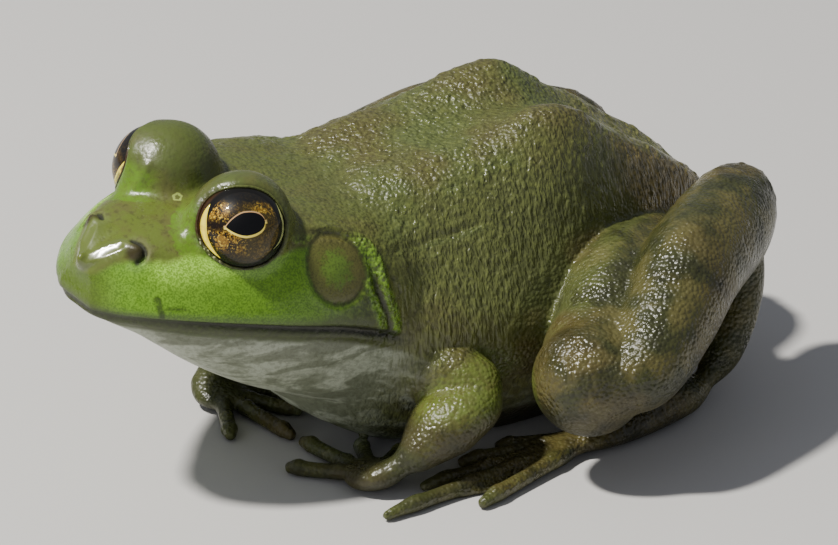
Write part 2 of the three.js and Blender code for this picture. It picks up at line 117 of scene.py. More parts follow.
TRUNK_PROFILES = {
    "y": [-52, -44, -33, -14, 0, 11, 22, 31, 37],
    "top": [34.0, 41.0, 45.0, 46.6, 47.2, 41.8, 35.4, 29.4, 23.4],
    "ridge": ([6.0, 9.6, 11.0, 11.6, 10.2, 9.4, 8.4, 6.6, 4.0],
              [33.6, 40.4, 44.6, 47.2, 50.6, 44.0, 36.8, 30.0, 23.0]),
    "shoulder": ([10.6, 16.7, 20.2, 22.2, 20.2, 17.2, 13.2, 9.5, 5.5],
                 [30.3, 33.2, 34.3, 33.6, 34.3, 30.3, 26.5, 22.3, 18.6]),
    "flank": ([13.0, 20.4, 25.0, 27.6, 25.4, 21.2, 15.6, 11.0, 6.2],
              [27, 26, 24, 20, 18, 17, 17.5, 16.5, 15.6]),
    "belly": ([8.0, 13.0, 16.5, 17.5, 16.5, 14.0, 11.0, 7.6, 4.4],
              [15.0, 8.6, 3.2, 0.2, 0, 0, 0.4, 3.6, 9.6]),
    "bottom": [14.0, 7.4, 2.0] + [-FLOOR_SINK] * 4 + [2.6, 8.8],
}

# inward: how far a hand turns in from straight ahead.
ARMS = {
    "left": {
        "shoulder": (18.5, -34.5, 17.6), "elbow": (33.6, -22.8, 13.6), "forearm": (31.8, -31.2, 10.4),
        "wrist": (32.0, -40.6, 5.2), "palm": (27.2, -42.2, 2.1), "inward": 88,
    },
    "right": {
        "shoulder": (-14.4, -37, 18.6), "elbow": (-27.4, -28.6, 14.6), "forearm": (-22.0, -37.4, 10.6),
        "wrist": (-16.2, -46.2, 5.2), "palm": (-11.4, -47.0, 2.1), "inward": 102,
    },
}
FINGERS = [(56, 12.5), (25, 14.0), (-4, 18.5), (-36, 14.5)]  # turn from the hand's middle, and length
LEGS = {
    "left": {
        "hip": (9, 25.5, 18.5), "mid_thigh": (28.6, 3, 20.8), "knee": (42.8, -12.5, 17.4),
        "shank": [(47.5, -13.8, 16.8), (48.4, -7.0, 19.2), (42.8, 1.9, 24.0), (36.9, 10.1, 28.3),
                  (27.5, 22.8, 29.2), (21.9, 29.2, 30.0), (17.9, 32.7, 31.7)],
        "mid_tarsus": (25.2, 27.8, 15.7), "ankle": (30, 18.8, 3.6), "ball": (33.6, -5, 2.5),
    },
    "right": {
        "hip": (-9, 24.5, 18.5), "mid_thigh": (-27.8, 3, 19.6), "knee": (-41.4, -10.8, 17.0),
        "shank": [(-46.1, -12.1, 16.4), (-46.6, -5.6, 18.6), (-40.9, 3.2, 22.8), (-35.6, 10.6, 26.0),
                  (-26.2, 22.4, 26.2), (-20.2, 28.2, 25.9), (-16.4, 31.2, 26.6)],
        "mid_tarsus": (-24.2, 28.0, 14.8), "ankle": (-28.4, 20.8, 3.6), "ball": (-32.8, -2.4, 2.5),
    },
}
KNEE_RADIUS = 8.95
SHANK_RADII = [6.0, 6.9, 7.9, 8.2, 8.2, 7.8, 7.6]
TOES = [(-33, 16.0), (-21, 23.0), (-10, 32.0), (-2, 42.5), (10, 29.0)]  # turn outwards, and length
DIGIT_RADIUS = 1.5
WEB_THICKNESS = 1.0
WEB_REACH, WEB_DIP = 0.86, 0.62  # of a toe's length: its edge on the toes, and between them
SIDES = {"left": 1, "right": -1}
FAR = 20  # where stored distances stop
DEGREES = 57.3  # in a radian


# ---------------------------------------------------------------- placing
HEAD_FRAME = (
    Matrix.Translation(HEAD_POSE["jaw_centre"])
    @ (
        Matrix.Rotation(math.radians(HEAD_POSE["yaw"]), 4, "Z")
        @ Matrix.Rotation(math.radians(-HEAD_POSE["pitch"]), 4, "X")
        @ Matrix.Rotation(math.radians(HEAD_POSE["roll"]), 4, "Y")
    )
    @ Matrix.Translation((0, -HEAD_LENGTH, 0))
)
HEAD_TURN = np.array(HEAD_FRAME)[:3, :3]
HEAD_PLACE = np.array(HEAD_FRAME)[:3, 3]


def from_head(points):
    return points @ HEAD_TURN.T + HEAD_PLACE


def to_head(points):
    return (points - HEAD_PLACE) @ HEAD_TURN


def mirrored(point, side):
    return np.array([point[0] * side, point[1], point[2]], float)


def unit(v):
    v = np.asarray(v, float)
    return v / np.linalg.norm(v, axis=-1, keepdims=True)


def smooth_step(low, high, values):
    """0 at low, 1 at high, smooth between; low may be the larger."""
    t = np.clip((values - low) / (high - low), 0, 1)
    return t * t * (3 - 2 * t)


def ridge(distance, width):
    return np.exp(-((distance / width) ** 2))


# ---------------------------------------------------------------- forms
def spline(points, shares, closed=False):
    """Points on the centripetal Catmull-Rom curve through `points`, at shares from 0 to 1 of its spans."""
    p = np.asarray(points, float)
    spans = len(p) if closed else len(p) - 1
    ends = p if closed else np.concatenate([2 * p[:1] - p[1:2], p, 2 * p[-1:] - p[-2:-1]])
    x = np.asarray(shares, float) * spans
    i = np.minimum(np.floor(x).astype(int), spans - 1)
    w = (x - i).reshape((-1,) + (1,) * (p.ndim - 1))
    a, b, c, d = (ends[(i + k - 1) % len(p)] if closed else ends[i + k] for k in range(4))
    ab, bc, cd = (
        np.maximum(np.sum((v - u) ** 2, -1, keepdims=True) ** 0.25, 1e-4) for u, v in ((a, b), (b, c), (c, d))
    )
    into = ((b - a) / ab - (c - a) / (ab + bc) + (c - b) / bc) * bc
    out = ((c - b) / bc - (d - b) / (bc + cd) + (d - c) / cd) * bc
    return b + into * w + (3 * (c - b) - 2 * into - out) * w**2 + (2 * (b - c) + into + out) * w**3


def wrapped(grid):
    """A ball whose rows and columns of vertices are drawn out to the places in `grid`."""
    rows, columns = len(grid) - 1, len(grid[0])
    bm = bmesh.new()
    bmesh.ops.create_uvsphere(bm, u_segments=columns, v_segments=rows, radius=1)
    for v in bm.verts:
        row = round(math.acos(max(-1, min(1, v.co.z))) / math.pi * rows)
        column = round(math.atan2(v.co.y, v.co.x) / (2 * math.pi) * columns) % columns
        v.co = grid[row][column]
    bmesh.ops.recalc_face_normals(bm, faces=bm.faces)
    return bm


def ring(grid):
    """A ring whose rows and columns of vertices are drawn out to the places in `grid`."""
    rows, columns = grid.shape[:2]
    bm = bmesh.new()
    upright = Matrix.Translation((2, 0, 0)) @ Matrix.Rotation(math.pi / 2, 4, "X")
    bmesh.ops.create_circle(bm, segments=columns, radius=1, matrix=upright)
    section = bm.verts[:] + bm.edges[:]
    bmesh.ops.spin(bm, geom=section, axis=(0, 0, 1), angle=2 * math.pi, steps=rows, use_merge=True)
    for v in bm.verts:
        row = round(math.atan2(v.co.y, v.co.x) / (2 * math.pi) * rows) % rows
        column = round(math.atan2(v.co.z, math.hypot(v.co.x, v.co.y) - 2) / (2 * math.pi) * columns) % columns
        v.co = grid[row][column]
    bmesh.ops.recalc_face_normals(bm, faces=bm.faces)
    return bm


def profile_loft(profiles, rows=72, columns=96):
    y = np.array(profiles["y"], float)
    left = [np.stack([np.zeros_like(y), y, np.array(profiles["top"], float)], -1)]
    for name, edge in profiles.items():
        if isinstance(edge, tuple):
            left.append(np.stack([np.array(edge[0], float), y, np.array(edge[1], float)], -1))
    left.append(np.stack([np.zeros_like(y), y, np.array(profiles["bottom"], float)], -1))
    right = [line * (-1, 1, 1) for line in left[1:-1]][::-1]
    rings = np.stack(left + right, 1)
    along = np.clip((np.arange(rows + 1) - 1) / (rows - 2), 0, 1)
    stations = spline(rings, along)
    grid = [spline(ring, np.arange(columns) / columns, closed=True) for ring in stations]
    grid[0] = np.repeat(grid[0].mean(0, keepdims=True), columns, 0)
    grid[-1] = np.repeat(grid[-1].mean(0, keepdims=True), columns, 0)
    return np.array(grid)


def link(points, rows=36, columns=28, bluntness=0.5):
    """A limb's piece: points are (place, half width across, half depth) along its middle line."""
    along = (1 - np.cos(np.pi * np.arange(rows + 1) / rows)) / 2
    swell = np.sin(np.pi * np.arange(rows + 1) / rows) ** bluntness
    places = np.array([p[0] for p in points], float)
    girths = np.array([(p[1], p[2], i) for i, p in enumerate(points)], float)
    middle = spline(places, along)
    size = spline(girths, along)
    ahead = unit(spline(places, np.minimum(along + 1e-3, 1)) - spline(places, np.maximum(along - 1e-3, 0)))
    side = unit(np.cross(ahead, (0, 0, 1)))
    over = np.cross(side, ahead)
    turn = 2 * np.pi * np.arange(columns) / columns
    across = (size[:, 0] * swell)[:, None, None] * np.cos(turn)[None, :, None] * side[:, None]
    deep = (size[:, 1] * swell)[:, None, None] * np.sin(turn)[None, :, None] * over[:, None]
    grid = middle[:, None] + across + deep
    grid[0], grid[-1] = middle[0], middle[-1]
    return wrapped(grid)


def part_way(a, b, share):
    """A place on the line from a to b, beyond b where the share is over 1."""
    return tuple(np.array(a, float) + (np.array(b, float) - a) * share)


def head_form():
    return wrapped(from_head(profile_loft(HEAD_PROFILES)))


def trunk_form():
    lean = np.array(Matrix.Rotation(math.radians(TRUNK_LEAN), 3, "Y"))
    return wrapped(profile_loft(TRUNK_PROFILES) @ lean.T)


def eye_axes(name):
    """An eye's own directions in the head's frame: its gaze, the snout's side of it, and up."""
    gaze = unit(GAZES[name])
    upward = unit(np.array([0, 0, 1.0]) - gaze * gaze[2])
    forward = np.cross(upward, gaze)
    if forward[1] > 0:
        forward = -forward
    return gaze, forward, upward


def eye_direction(name, off, around):
    """Directions at some degrees off the gaze, towards some degrees round it."""
    gaze, forward, upward = eye_axes(name)
    off, around = np.radians(off)[..., None], np.radians(around)[..., None]
    return gaze * np.cos(off) + (forward * np.cos(around) + upward * np.sin(around)) * np.sin(off)


def ellipsoid(centre, radius, stretch=1, carried=lambda p: p):
    bm = bmesh.new()
    bmesh.ops.create_uvsphere(bm, u_segments=72, v_segments=54, radius=radius)
    for v in bm.verts:
        v.co = carried(np.array(v.co) * stretch + centre)
    return bm


def eyelid_forms(name, side):
    """The lid's bulge, and a thin hood over the whole eye that the opening is sculpted in."""
    at = mirrored(EYE_AT, side) + LID_OFFSETS[name]
    yield ellipsoid(at, LID_RADIUS, LID_STRETCH, from_head)
    yield ellipsoid(mirrored(EYE_AT, side), EYE_RADIUS + HOOD_LIFT, 1, from_head)


def digit(root, heading, length, knuckles):
    """A finger or toe: a slim chain of bones, a little thicker at each knuckle and at the soft tip."""
    stops = [(0, 2.4, 1.25), (0.2, 2.2, 1.02)]
    for k in range(knuckles):
        at = 0.36 + 0.5 * k / max(knuckles - 1, 1)
        stops += [(at - 0.07, 2.1 - at * 0.9, 0.86), (at, 2.1 - at * 0.8, 1.0)]
        stops.append((at + 0.07, 2.0 - at * 0.9, 0.84))
    stops += [(1.0, 0.95, 0.86)]
    points = []
    for share, height, girth in stops:
        x, y = (np.array(root) + heading * length * share)[:2]
        points.append(((x, y, height), girth * DIGIT_RADIUS, girth * DIGIT_RADIUS))
    return link(points, rows=44, columns=16, bluntness=0.4)


def turned_in(degrees, side):
    a = math.radians(degrees)
    return np.array([-side * math.sin(a), -math.cos(a), 0])


def arm_forms(name, side):
    p = ARMS[name]
    shoulder, elbow, wrist, palm = p["shoulder"], p["elbow"], p["wrist"], p["palm"]
    middle = turned_in(p["inward"], side)
    yield link([(shoulder, 5.6, 5.8), (part_way(shoulder, elbow, 0.55), 5.2, 5.4), (elbow, 4.6, 4.8)])
    forearm = [(elbow, 4.6, 4.6), (p["forearm"], 6.2, 5.2), (part_way(elbow, wrist, 0.85), 3.4, 3.0)]
    yield link([*forearm, (wrist, 3.2, 2.6)])
    heel, knuckles = np.array(wrist) - middle, np.array(palm) + middle * 4.2
    yield link([(heel, 3.0, 2.6), (palm, 4.8, 2.3), (knuckles, 3.8, 1.6)])
    for turn, length in FINGERS:
        yield digit(palm, turned_in(p["inward"] + turn, side), length, 2)


def toe_headings(name, side):
    p = LEGS[name]
    ahead = unit(np.array(p["ball"]) - np.array(p["ankle"]))
    ahead = unit([ahead[0], ahead[1], 0])
    across = np.array([-ahead[1], ahead[0], 0])
    turns = [math.radians(turn * side) for turn, _ in TOES]
    return ahead, [ahead * math.cos(a) + across * math.sin(a) for a in turns]


def web_form(ball, headings):
    """The thin web: its edge runs out along each toe and hangs in a curve between them."""
    ball = np.array([ball[0], ball[1], 0])
    edge = [ball - headings[3] * 6]
    for i, (_, length) in enumerate(TOES):
        tip = ball + headings[i] * length * WEB_REACH
        edge.append(tip)
        if i == len(TOES) - 1:
            break
        following = ball + headings[i + 1] * TOES[i + 1][1] * WEB_REACH
        dip = ball + unit(headings[i] + headings[i + 1]) * WEB_DIP * min(length, TOES[i + 1][1])
        for t in (0.25, 0.5, 0.75):
            edge.append(tip * (1 - t) ** 2 + 2 * dip * t * (1 - t) + following * t * t)
    bm = bmesh.new()
    face = bm.faces.new([bm.verts.new((p[0], p[1], 0.2)) for p in edge])
    top = bmesh.ops.extrude_face_region(bm, geom=[face])["geom"]
    lift = Vector((0, 0, WEB_THICKNESS))
    bmesh.ops.translate(bm, verts=[v for v in top if isinstance(v, bmesh.types.BMVert)], vec=lift)
    bmesh.ops.triangulate(bm, faces=bm.faces)
    bmesh.ops.recalc_face_normals(bm, faces=bm.faces)
    return bm


def leg_forms(name, side):
    p = LEGS[name]
    ankle, ball = p["ankle"], p["ball"]
    yield link([(p["hip"], 9.0, 9.6), (p["mid_thigh"], 9.6, 11.2), (p["knee"], 8.4, 8.6)], rows=60, columns=56)
    yield ellipsoid(np.array(p["knee"]), KNEE_RADIUS)
    for share in (0.3, 0.6):
        yield ellipsoid(part_way(p["knee"], p["mid_thigh"], share), KNEE_RADIUS + share * 0.5)
    yield link([(place, r, r * 1.04) for place, r in zip(p["shank"], SHANK_RADII)], rows=60, columns=56)
    yield link([(p["shank"][5], 4.6, 4.6), (p["mid_tarsus"], 3.9, 3.8), (ankle, 4.2, 3.6)])
    ahead, headings = toe_headings(name, side)
    foot = [(ankle, 4.2, 3.6), (part_way(ankle, ball, 0.5), 4.6, 3.1), (ball, 5.0, 2.4)]
    yield link([*foot, (np.array(ball) + ahead * 5, 4.4, 1.7)])
    for i, (_, length) in enumerate(TOES):
        yield digit(ball, headings[i], length, 3 if length > 30 else 2)
    yield web_form(ball, headings)


# ---------------------------------------------------------------- one skin
def mesh_object(name, bm):
    mesh = bpy.data.meshes.new(name)
    bm.to_mesh(mesh)
    bm.free()
    piece = bpy.data.objects.new(name, mesh)
    bpy.context.scene.collection.objects.link(piece)
    return piece


def joined_forms():
    """Every form of flesh in one mesh, in metres, still overlapping."""
    forms = [head_form(), trunk_form()]
    for name, side in SIDES.items():
        forms += [*eyelid_forms(name, side), *arm_forms(name, side), *leg_forms(name, side)]
    whole = bmesh.new()
    for form in forms:
        mesh = bpy.data.meshes.new("form")
        form.to_mesh(mesh)
        form.free()
        whole.from_mesh(mesh)
        bpy.data.meshes.remove(mesh)
    bmesh.ops.scale(whole, verts=whole.verts, vec=(MM,) * 3)
    return mesh_object("skin", whole)


def settle(piece):
    """Replaces a piece's mesh by what its modifiers make of it."""
    graph = bpy.context.evaluated_depsgraph_get()
    made = bpy.data.meshes.new_from_object(piece.evaluated_get(graph))
    piece.modifiers.clear()
    old = piece.data
    piece.data = made
    bpy.data.meshes.remove(old)


def fuse(piece):
    remesh = piece.modifiers.new("fuse", "REMESH")
    remesh.mode = "VOXEL"
    remesh.voxel_size = VOXEL * MM
    remesh.adaptivity = 0
    settle(piece)


def read(items, field, width, kind=np.float32):
    flat = np.empty(len(items) * width, kind)
    items.foreach_get(field, flat)
    return flat.reshape(-1, width)


def places(mesh):
    return read(mesh.vertices, "co", 3).astype(float) / MM


def put(mesh, points):
    mesh.vertices.foreach_set("co", (points * MM).astype(np.float32).ravel())
    mesh.update()


def normals(mesh):
    return read(mesh.vertex_normals, "vector", 3).astype(float)


def edge_pairs(mesh):
    return read(mesh.edges, "vertices", 2, np.int32)


def relaxed(points, pairs, weight, rounds, keep_volume=False):
    """Points drawn towards the mean of their neighbours, by a weight for each point."""
    a, b = pairs.T
    count = len(points)
    degree = np.maximum(np.bincount(a, minlength=count) + np.bincount(b, minlength=count), 1)
    weight = np.broadcast_to(weight, count)[:, None]
    for turn in range(rounds * (2 if keep_volume else 1)):
        sums = [np.bincount(a, points[b, k], count) + np.bincount(b, points[a, k], count) for k in range(3)]
        mean = np.stack(sums, -1) / degree[:, None]
        strength = -1.04 if keep_volume and turn % 2 else 1.0
        points = points + (mean - points) * weight * strength
    return points


def near(points, centre, radius):
    """1 at a place, falling to 0 at a distance from it."""
    return 1 - smooth_step(0.35, 1.0, np.linalg.norm(points - np.asarray(centre, float), axis=1) / radius)


def span_distance(points, a, b):
    """Distance of each point from the straight span between two places, and how far along the span, 0 to 1."""
    t = np.clip((points - a) @ (b - a) / max((b - a) @ (b - a), 1e-9), 0, 1)
    return np.linalg.norm(points - a - t[:, None] * (b - a), axis=1), t


def line_distance(points, line, reach=8.0):
    """Distance of each point from a line drawn smoothly through places, and how far along the line, 0 to 1."""
    line = spline(np.array(line, float), np.linspace(0, 1, 6 * len(line)))
    low, high = line.min(0) - reach, line.max(0) + reach
    close = np.flatnonzero(np.all((points > low) & (points < high), axis=1))
    found, share = np.full(len(points), 1e3), np.zeros(len(points))
    if len(close) == 0:
        return found, share
    p = points[close]
    best, best_share = np.full(len(p), 1e3), np.zeros(len(p))
    for i, (a, b) in enumerate(zip(line, line[1:])):
        d, t = span_distance(p, a, b)
        closer = d < best
        best[closer], best_share[closer] = d[closer], (i + t[closer]) / (len(line) - 1)
    found[close], share[close] = best, best_share
    return found, share


# ---------------------------------------------------------------- sculpting
def blend_joins(points, pairs):
    """Softens the lines where the forms meet; each join has its place, reach and strength."""
    joins = [(from_head(np.array([0.0, 49, 8])), 30, 1.0)]
    for name, side in SIDES.items():
        arm, leg = ARMS[name], LEGS[name]
        lid = mirrored(EYE_AT, side) + LID_OFFSETS[name]
        joins += [
            (from_head(lid), 13.5, 0.6),
            (arm["shoulder"], 12, 1.0),
            (arm["elbow"], 6.5, 0.5),
            (arm["wrist"], 5, 0.6),
            (arm["palm"], 6, 0.45),
            (leg["hip"], 16, 1.0),
            (part_way(leg["knee"], leg["shank"][0], 1.6), 8.5, 0.9),
            (part_way(leg["knee"], leg["mid_thigh"], 0.2), 11.5, 1.0),
            (leg["shank"][5], 8, 0.7),
            (leg["shank"][6], 11, 1.0),
            (leg["ankle"], 7, 0.7),
            (leg["ball"], 9, 0.45),
        ]
    weight = np.zeros(len(points))
    for centre, radius, strength in joins:
        weight = np.maximum(weight, near(points, centre, radius) * strength)
    return relaxed(points, pairs, weight, 80)


def eye_angles(at_head, name, side):
    """Each point's distance from an eye's centre, and its degrees off the gaze and round it."""
    gaze, forward, upward = eye_axes(name)
    v = at_head - mirrored(EYE_AT, side)
    r = np.linalg.norm(v, axis=1)
    off = np.degrees(np.arccos(np.clip(v @ gaze / np.maximum(r, 1e-6), -1, 1)))
    return r, off, np.degrees(np.arctan2(v @ upward, v @ forward))


def lid_opening(name, around):
    """Degrees off the gaze at which the lids meet the eye."""
    turns, degrees = np.array(LIDS[name], float).T
    fine = np.interp(np.arange(-180, 180), turns, degrees, period=360)
    kernel = np.hanning(19)
    fine = np.convolve(np.concatenate([fine[-9:], fine, fine[:9]]), kernel / kernel.sum(), "valid")
    return np.interp(around, np.arange(-180, 180), fine, period=360)


SNAP = 2.2  # degrees within which a point of the hood is moved on to the lids' edge


def open_lids(at_head, name, side):
    """Parts the hood over an eye: inside the opening it sinks, and at the edge it stands a little proud."""
    r, off, around = eye_angles(at_head, name, side)
    opening = lid_opening(name, around)
    over = (r < EYE_RADIUS + 3.0) & (off < opening + 35)
    past = off - opening
    snapped = over & (np.abs(past) < SNAP)
    off = np.where(snapped, opening, off)
    past = np.where(snapped, 0.0, past)
    inside = over & (past < 0)
    margin = EYE_RADIUS + MARGIN_LIFT + 0.5 * smooth_step(0, 7, past)
    settled = smooth_step(1, 11, past)
    wanted = np.where(inside, EYE_RADIUS - 1.1, margin * (1 - settled) + np.maximum(r, margin) * settled)
    turned = mirrored(EYE_AT, side) + eye_direction(name, off, around) * wanted[:, None]
    return np.where(over[:, None], turned, at_head)


def mouth_height(at_head):
    """Signed height over the line of the mouth."""
    line = spline(np.stack([HEAD_PROFILES["y"], MOUTH], -1), np.linspace(0, 1, 90))
    return at_head[:, 2] - np.interp(at_head[:, 1], line[:, 0], line[:, 1])


def mouth_relief(at_head):
    height = mouth_height(at_head)
    fades = 1 - smooth_step(43, 49, at_head[:, 1])
    groove = -(0.45 + 0.3 * smooth_step(4, 16, at_head[:, 1])) * ridge(height + 0.1, 0.45)
    upper = 0.3 * smooth_step(0.1, 0.8, height) * (1 - smooth_step(1.2, 4.0, height))
    lower = -0.5 * smooth_step(-0.1, -0.7, height) * (1 - smooth_step(1.0, 4.5, -height))
    roll = 0.28 * ridge(height + 1.5, 0.6)
    return (groove + upper + lower + roll) * fades


def ear_distance(at_head):
    """Distance from the middle of the left eardrum, which is a little taller than long, and from its plane."""
    facing = unit(EAR_FACING)
    v = at_head - np.array(EAR_AT)
    back = unit(np.array([0, 1.0, 0]) - facing * facing[1])
    up = unit(np.array([0, 0, 1.0]) - facing * facing[2])
    return np.hypot(v @ back, v @ up * 0.92), np.abs(v @ facing)


def eardrum_relief(level):
    """A shallow dish with a raised middle, in a groove and a rim."""
    groove = -0.22 * ridge(level - EAR_RADIUS, 0.45)
    rim = 0.16 * ridge(level - EAR_RADIUS - 0.8, 0.5)
    return groove + rim + 0.22 * ridge(level, 1.8) - 0.12 * (1 - smooth_step(4.0, 5.0, level))


def side_relief(at_head):
    """The folds and pits of one side of the face; at_head has been turned so that the side is the left one."""
    level, out = ear_distance(at_head)
    relief = np.where(out < EAR_DEPTH, eardrum_relief(level), 0)

    distance, share = line_distance(at_head, EAR_FOLD)
    beyond = level > 5.6  # clear of the eardrum's rim
    strength = smooth_step(0, 0.1, share) * (1 - 0.5 * smooth_step(0.75, 1.0, share))
    relief += -0.75 * ridge(distance, 0.6) * strength
    outer = [np.array(p) + unit(np.array(p) - EAR_AT) * 1.5 for p in EAR_FOLD]
    distance, share = line_distance(at_head, outer)
    relief += 0.8 * ridge(distance, 1.0) * strength * beyond

    distance, share = line_distance(at_head, NOSE_RIDGE)
    fading = smooth_step(-0.15, 0.3, share) * (1 - 0.5 * smooth_step(0.75, 1, share))
    relief += 0.95 * ridge(distance, 1.5) * fading * smooth_step(-2, 0.4, at_head[:, 0])
    distance, share = line_distance(at_head, SNOUT_BAR)
    level = (np.array(SNOUT_BAR[1]) - at_head) @ unit(BAR_FACING) + 0.55
    broad = smooth_step(1.25 - 0.35 * share, 0.55 - 0.15 * share, distance)
    relief += (np.clip(level, -0.6, 0.95) - relief) * broad
    distance, share = line_distance(at_head, NOSTRIL)
    relief += -1.25 * ridge(distance, 0.45) * (0.4 + 0.6 * np.sin(np.pi * np.clip(share, 0, 1)))

    distance, share = line_distance(at_head, CANTHUS)
    relief += -0.3 * ridge(distance, 0.4) * (1 - share)
    below = [np.array(p) - (0, 0, 1.1) for p in CANTHUS]
    relief += 0.3 * ridge(line_distance(at_head, below)[0], 0.8)
    relief += 0.3 * ridge(line_distance(at_head, LID_FRONT)[0], 0.9)
    return relief


def grain(points, size, seed):
    """Soft noise of about -1 to 1, with lumps of one size."""
    scaled = points / size + seed
    return np.array([noise.noise(p) for p in scaled.tolist()]) * 1.6


def body_relief(points, normal):
    """The lie of the skin: low warts on the back, and rows of pleats down the flanks."""
    at_head = to_head(points)
    behind = smooth_step(33, 48, at_head[:, 1])
    x, y, z = points.T
    trunk = behind * (1 - smooth_step(26, 31, np.abs(x))) * smooth_step(3, 9, z)
    flank = trunk * smooth_step(0.3, 0.75, np.abs(normal[:, 0]))
    warts = smooth_step(0.1, 0.9, grain(points, 1.7, 11.0)) * 0.2
    broad = grain(points, 6.5, 5.0) * 0.26
    pleats = grain(points * (1, 1, 0.36), 1.05, 37.0) * (1 - 0.7 * smooth_step(8, 22, y))
    relief = trunk * (warts * (1 - flank * 0.6) + broad * (1 - flank)) + trunk * (0.07 + 0.04 * flank) * pleats
    for side in SIDES.values():
        distance, share = line_distance(points * (side, 1, 1), SHOULDER_CREASE)
        relief += -0.5 * ridge(distance, 0.8) * np.sin(np.pi * np.clip(share, 0, 1))
    return relief


FACE_END = 56  # how far back, and how far past the middle, each side's folds may reach
FACE_OVERLAP = 2


def sculpt(piece):
    """Draws the fused forms into one body: joins, then lids, then folds, warts and pleats."""
    mesh = piece.data
    pairs = edge_pairs(mesh)
    points = relaxed(places(mesh), pairs, 0.5, 4, keep_volume=True)
    points = blend_joins(points, pairs)
    at_head = to_head(points)
    for name, side in SIDES.items():
        at_head = open_lids(at_head, name, side)
    points = from_head(at_head)
    put(mesh, points)
    normal = normals(mesh)
    height = mouth_relief(at_head) + body_relief(points, normal)
    for side in SIDES.values():
        turned = at_head * (side, 1, 1)
        on_face = (turned[:, 0] > -FACE_OVERLAP) & (turned[:, 1] < FACE_END)
        height += np.where(on_face, side_relief(turned), 0)
    for name, side in SIDES.items():
        r, off, around = eye_angles(at_head, name, side)
        clear = smooth_step(0, 12, off - lid_opening(name, around))  # the lids' edges stay smooth
        height *= np.where(r < EYE_RADIUS + 2.5, clear, 1)
    points = points + normal * height[:, None]
    points[:, 2] = np.maximum(points[:, 2], 0.0)
    put(mesh, points)


def thin_out(piece):
    """Fewer triangles where the skin is plain."""
    thin = piece.modifiers.new("thin", "DECIMATE")
    triangles = sum(len(p.vertices) - 2 for p in piece.data.polygons)
    thin.ratio = min(1, SKIN_TRIANGLES / triangles)
    settle(piece)


def drop_shreds(piece):
    """Removes any shred that the remesh left apart from the body, which is all that joins the highest point."""
    bm = bmesh.new()
    bm.from_mesh(piece.data)
    newest = {max(bm.verts, key=lambda v: v.co.z)}
    body = set(newest)
    while newest:
        newest = {e.other_vert(v) for v in newest for e in v.link_edges} - body
        body |= newest
    bmesh.ops.delete(bm, geom=[v for v in bm.verts if v not in body], context="VERTS")
    bm.to_mesh(piece.data)
    bm.free()


def store(mesh, name, values):
    layer = mesh.attributes.new(name, "FLOAT", "POINT")
    layer.data.foreach_set("value", np.asarray(values, np.float32))


def limb_share(points):
    """1 on the limbs and 0 on the trunk and head, and the same for the shanks alone and for the arms alone."""
    limb, shank, arms = np.zeros(len(points)), np.zeros(len(points)), np.zeros(len(points))
    for name in SIDES:
        leg, arm = LEGS[name], ARMS[name]
        chains = [
            ([leg["hip"], leg["mid_thigh"], leg["knee"]], 12.5, None),
            ([*leg["shank"], leg["mid_tarsus"], leg["ankle"], leg["ball"]], 10.5, shank),
            ([arm["elbow"], arm["wrist"], arm["palm"]], 7.5, arms),
        ]
        for chain, radius, own in chains:
            chain = np.array(chain, float)
            for a, b in zip(chain, chain[1:]):
                share = 1 - smooth_step(radius * 0.95, radius * 1.25, span_distance(points, a, b)[0])
                limb = np.maximum(limb, share)
                if own is not None:
                    np.maximum(own, share, out=own)
        for place, reach in ((arm["palm"], 24), (leg["ball"], 46)):
            apart = np.linalg.norm(points[:, :2] - place[:2], axis=1)
            low = 1 - smooth_step(4.6, 6.0, points[:, 2])
            limb = np.maximum(limb, (1 - smooth_step(reach - 2, reach, apart)) * low)
    belly = (points[:, 1] > -40) & (np.abs(points[:, 0]) < BELLY_HALF_WIDTH)
    off_belly = smooth_step(BELLY_HALF_WIDTH - 2, BELLY_HALF_WIDTH, np.abs(points[:, 0]))
    return np.where(belly, np.minimum(limb, off_belly), limb), shank, arms


def map_regions(piece):
    """Distances and regions that the skin's colours follow, in millimetres or from 0 to 1."""
    mesh = piece.data
    points = places(mesh)
    at_head = to_head(points)
    left = np.stack([np.abs(at_head[:, 0]), at_head[:, 1], at_head[:, 2]], -1)
    y, z = at_head[:, 1], at_head[:, 2]
    level, out = ear_distance(left)
    eye = np.full(len(points), float(FAR))
    for name, side in SIDES.items():
        r, off, around = eye_angles(at_head, name, side)
        arc = (off - lid_opening(name, around)) * EYE_RADIUS / DEGREES
        eye = np.minimum(eye, np.where(r < EYE_RADIUS + 4, arc, FAR))
    limb, shank, arms = limb_share(points)
    nick, scratch = line_distance(at_head, LIP_NICK)[0], line_distance(at_head, LIP_SCRATCH)[0]
    distances = {
        "eye": eye,
        "fold": line_distance(left, EAR_FOLD)[0],
        "nostril": line_distance(left, NOSTRIL)[0],
        "bar": line_distance(left, SNOUT_BAR)[0],
        "nose": np.linalg.norm(left - NOSTRIL_HEART, axis=1),
        "brow": np.linalg.norm(at_head - BROW_SPOT, axis=1),
        "scar": np.minimum(nick, scratch + 0.25),
    }
    for title, values in distances.items():
        store(mesh, title, np.minimum(values, FAR))
    regions = {
        "mouth": np.where(y < 52, mouth_height(at_head), FAR),
        "ear": np.where(out < EAR_DEPTH, level, FAR),
        "along": y,
        "height": z,
        "crest": z - np.interp(y, *np.array(GREEN_EDGE, float).T),
        "rise": points[:, 2],
        "upward": normals(mesh)[:, 2],
        "rear": smooth_step(6, 16, points[:, 1]),
        "limb": limb,
        "shank": shank,
        "arm": arms,
    }
    for title, values in regions.items():
        store(mesh, title, values)


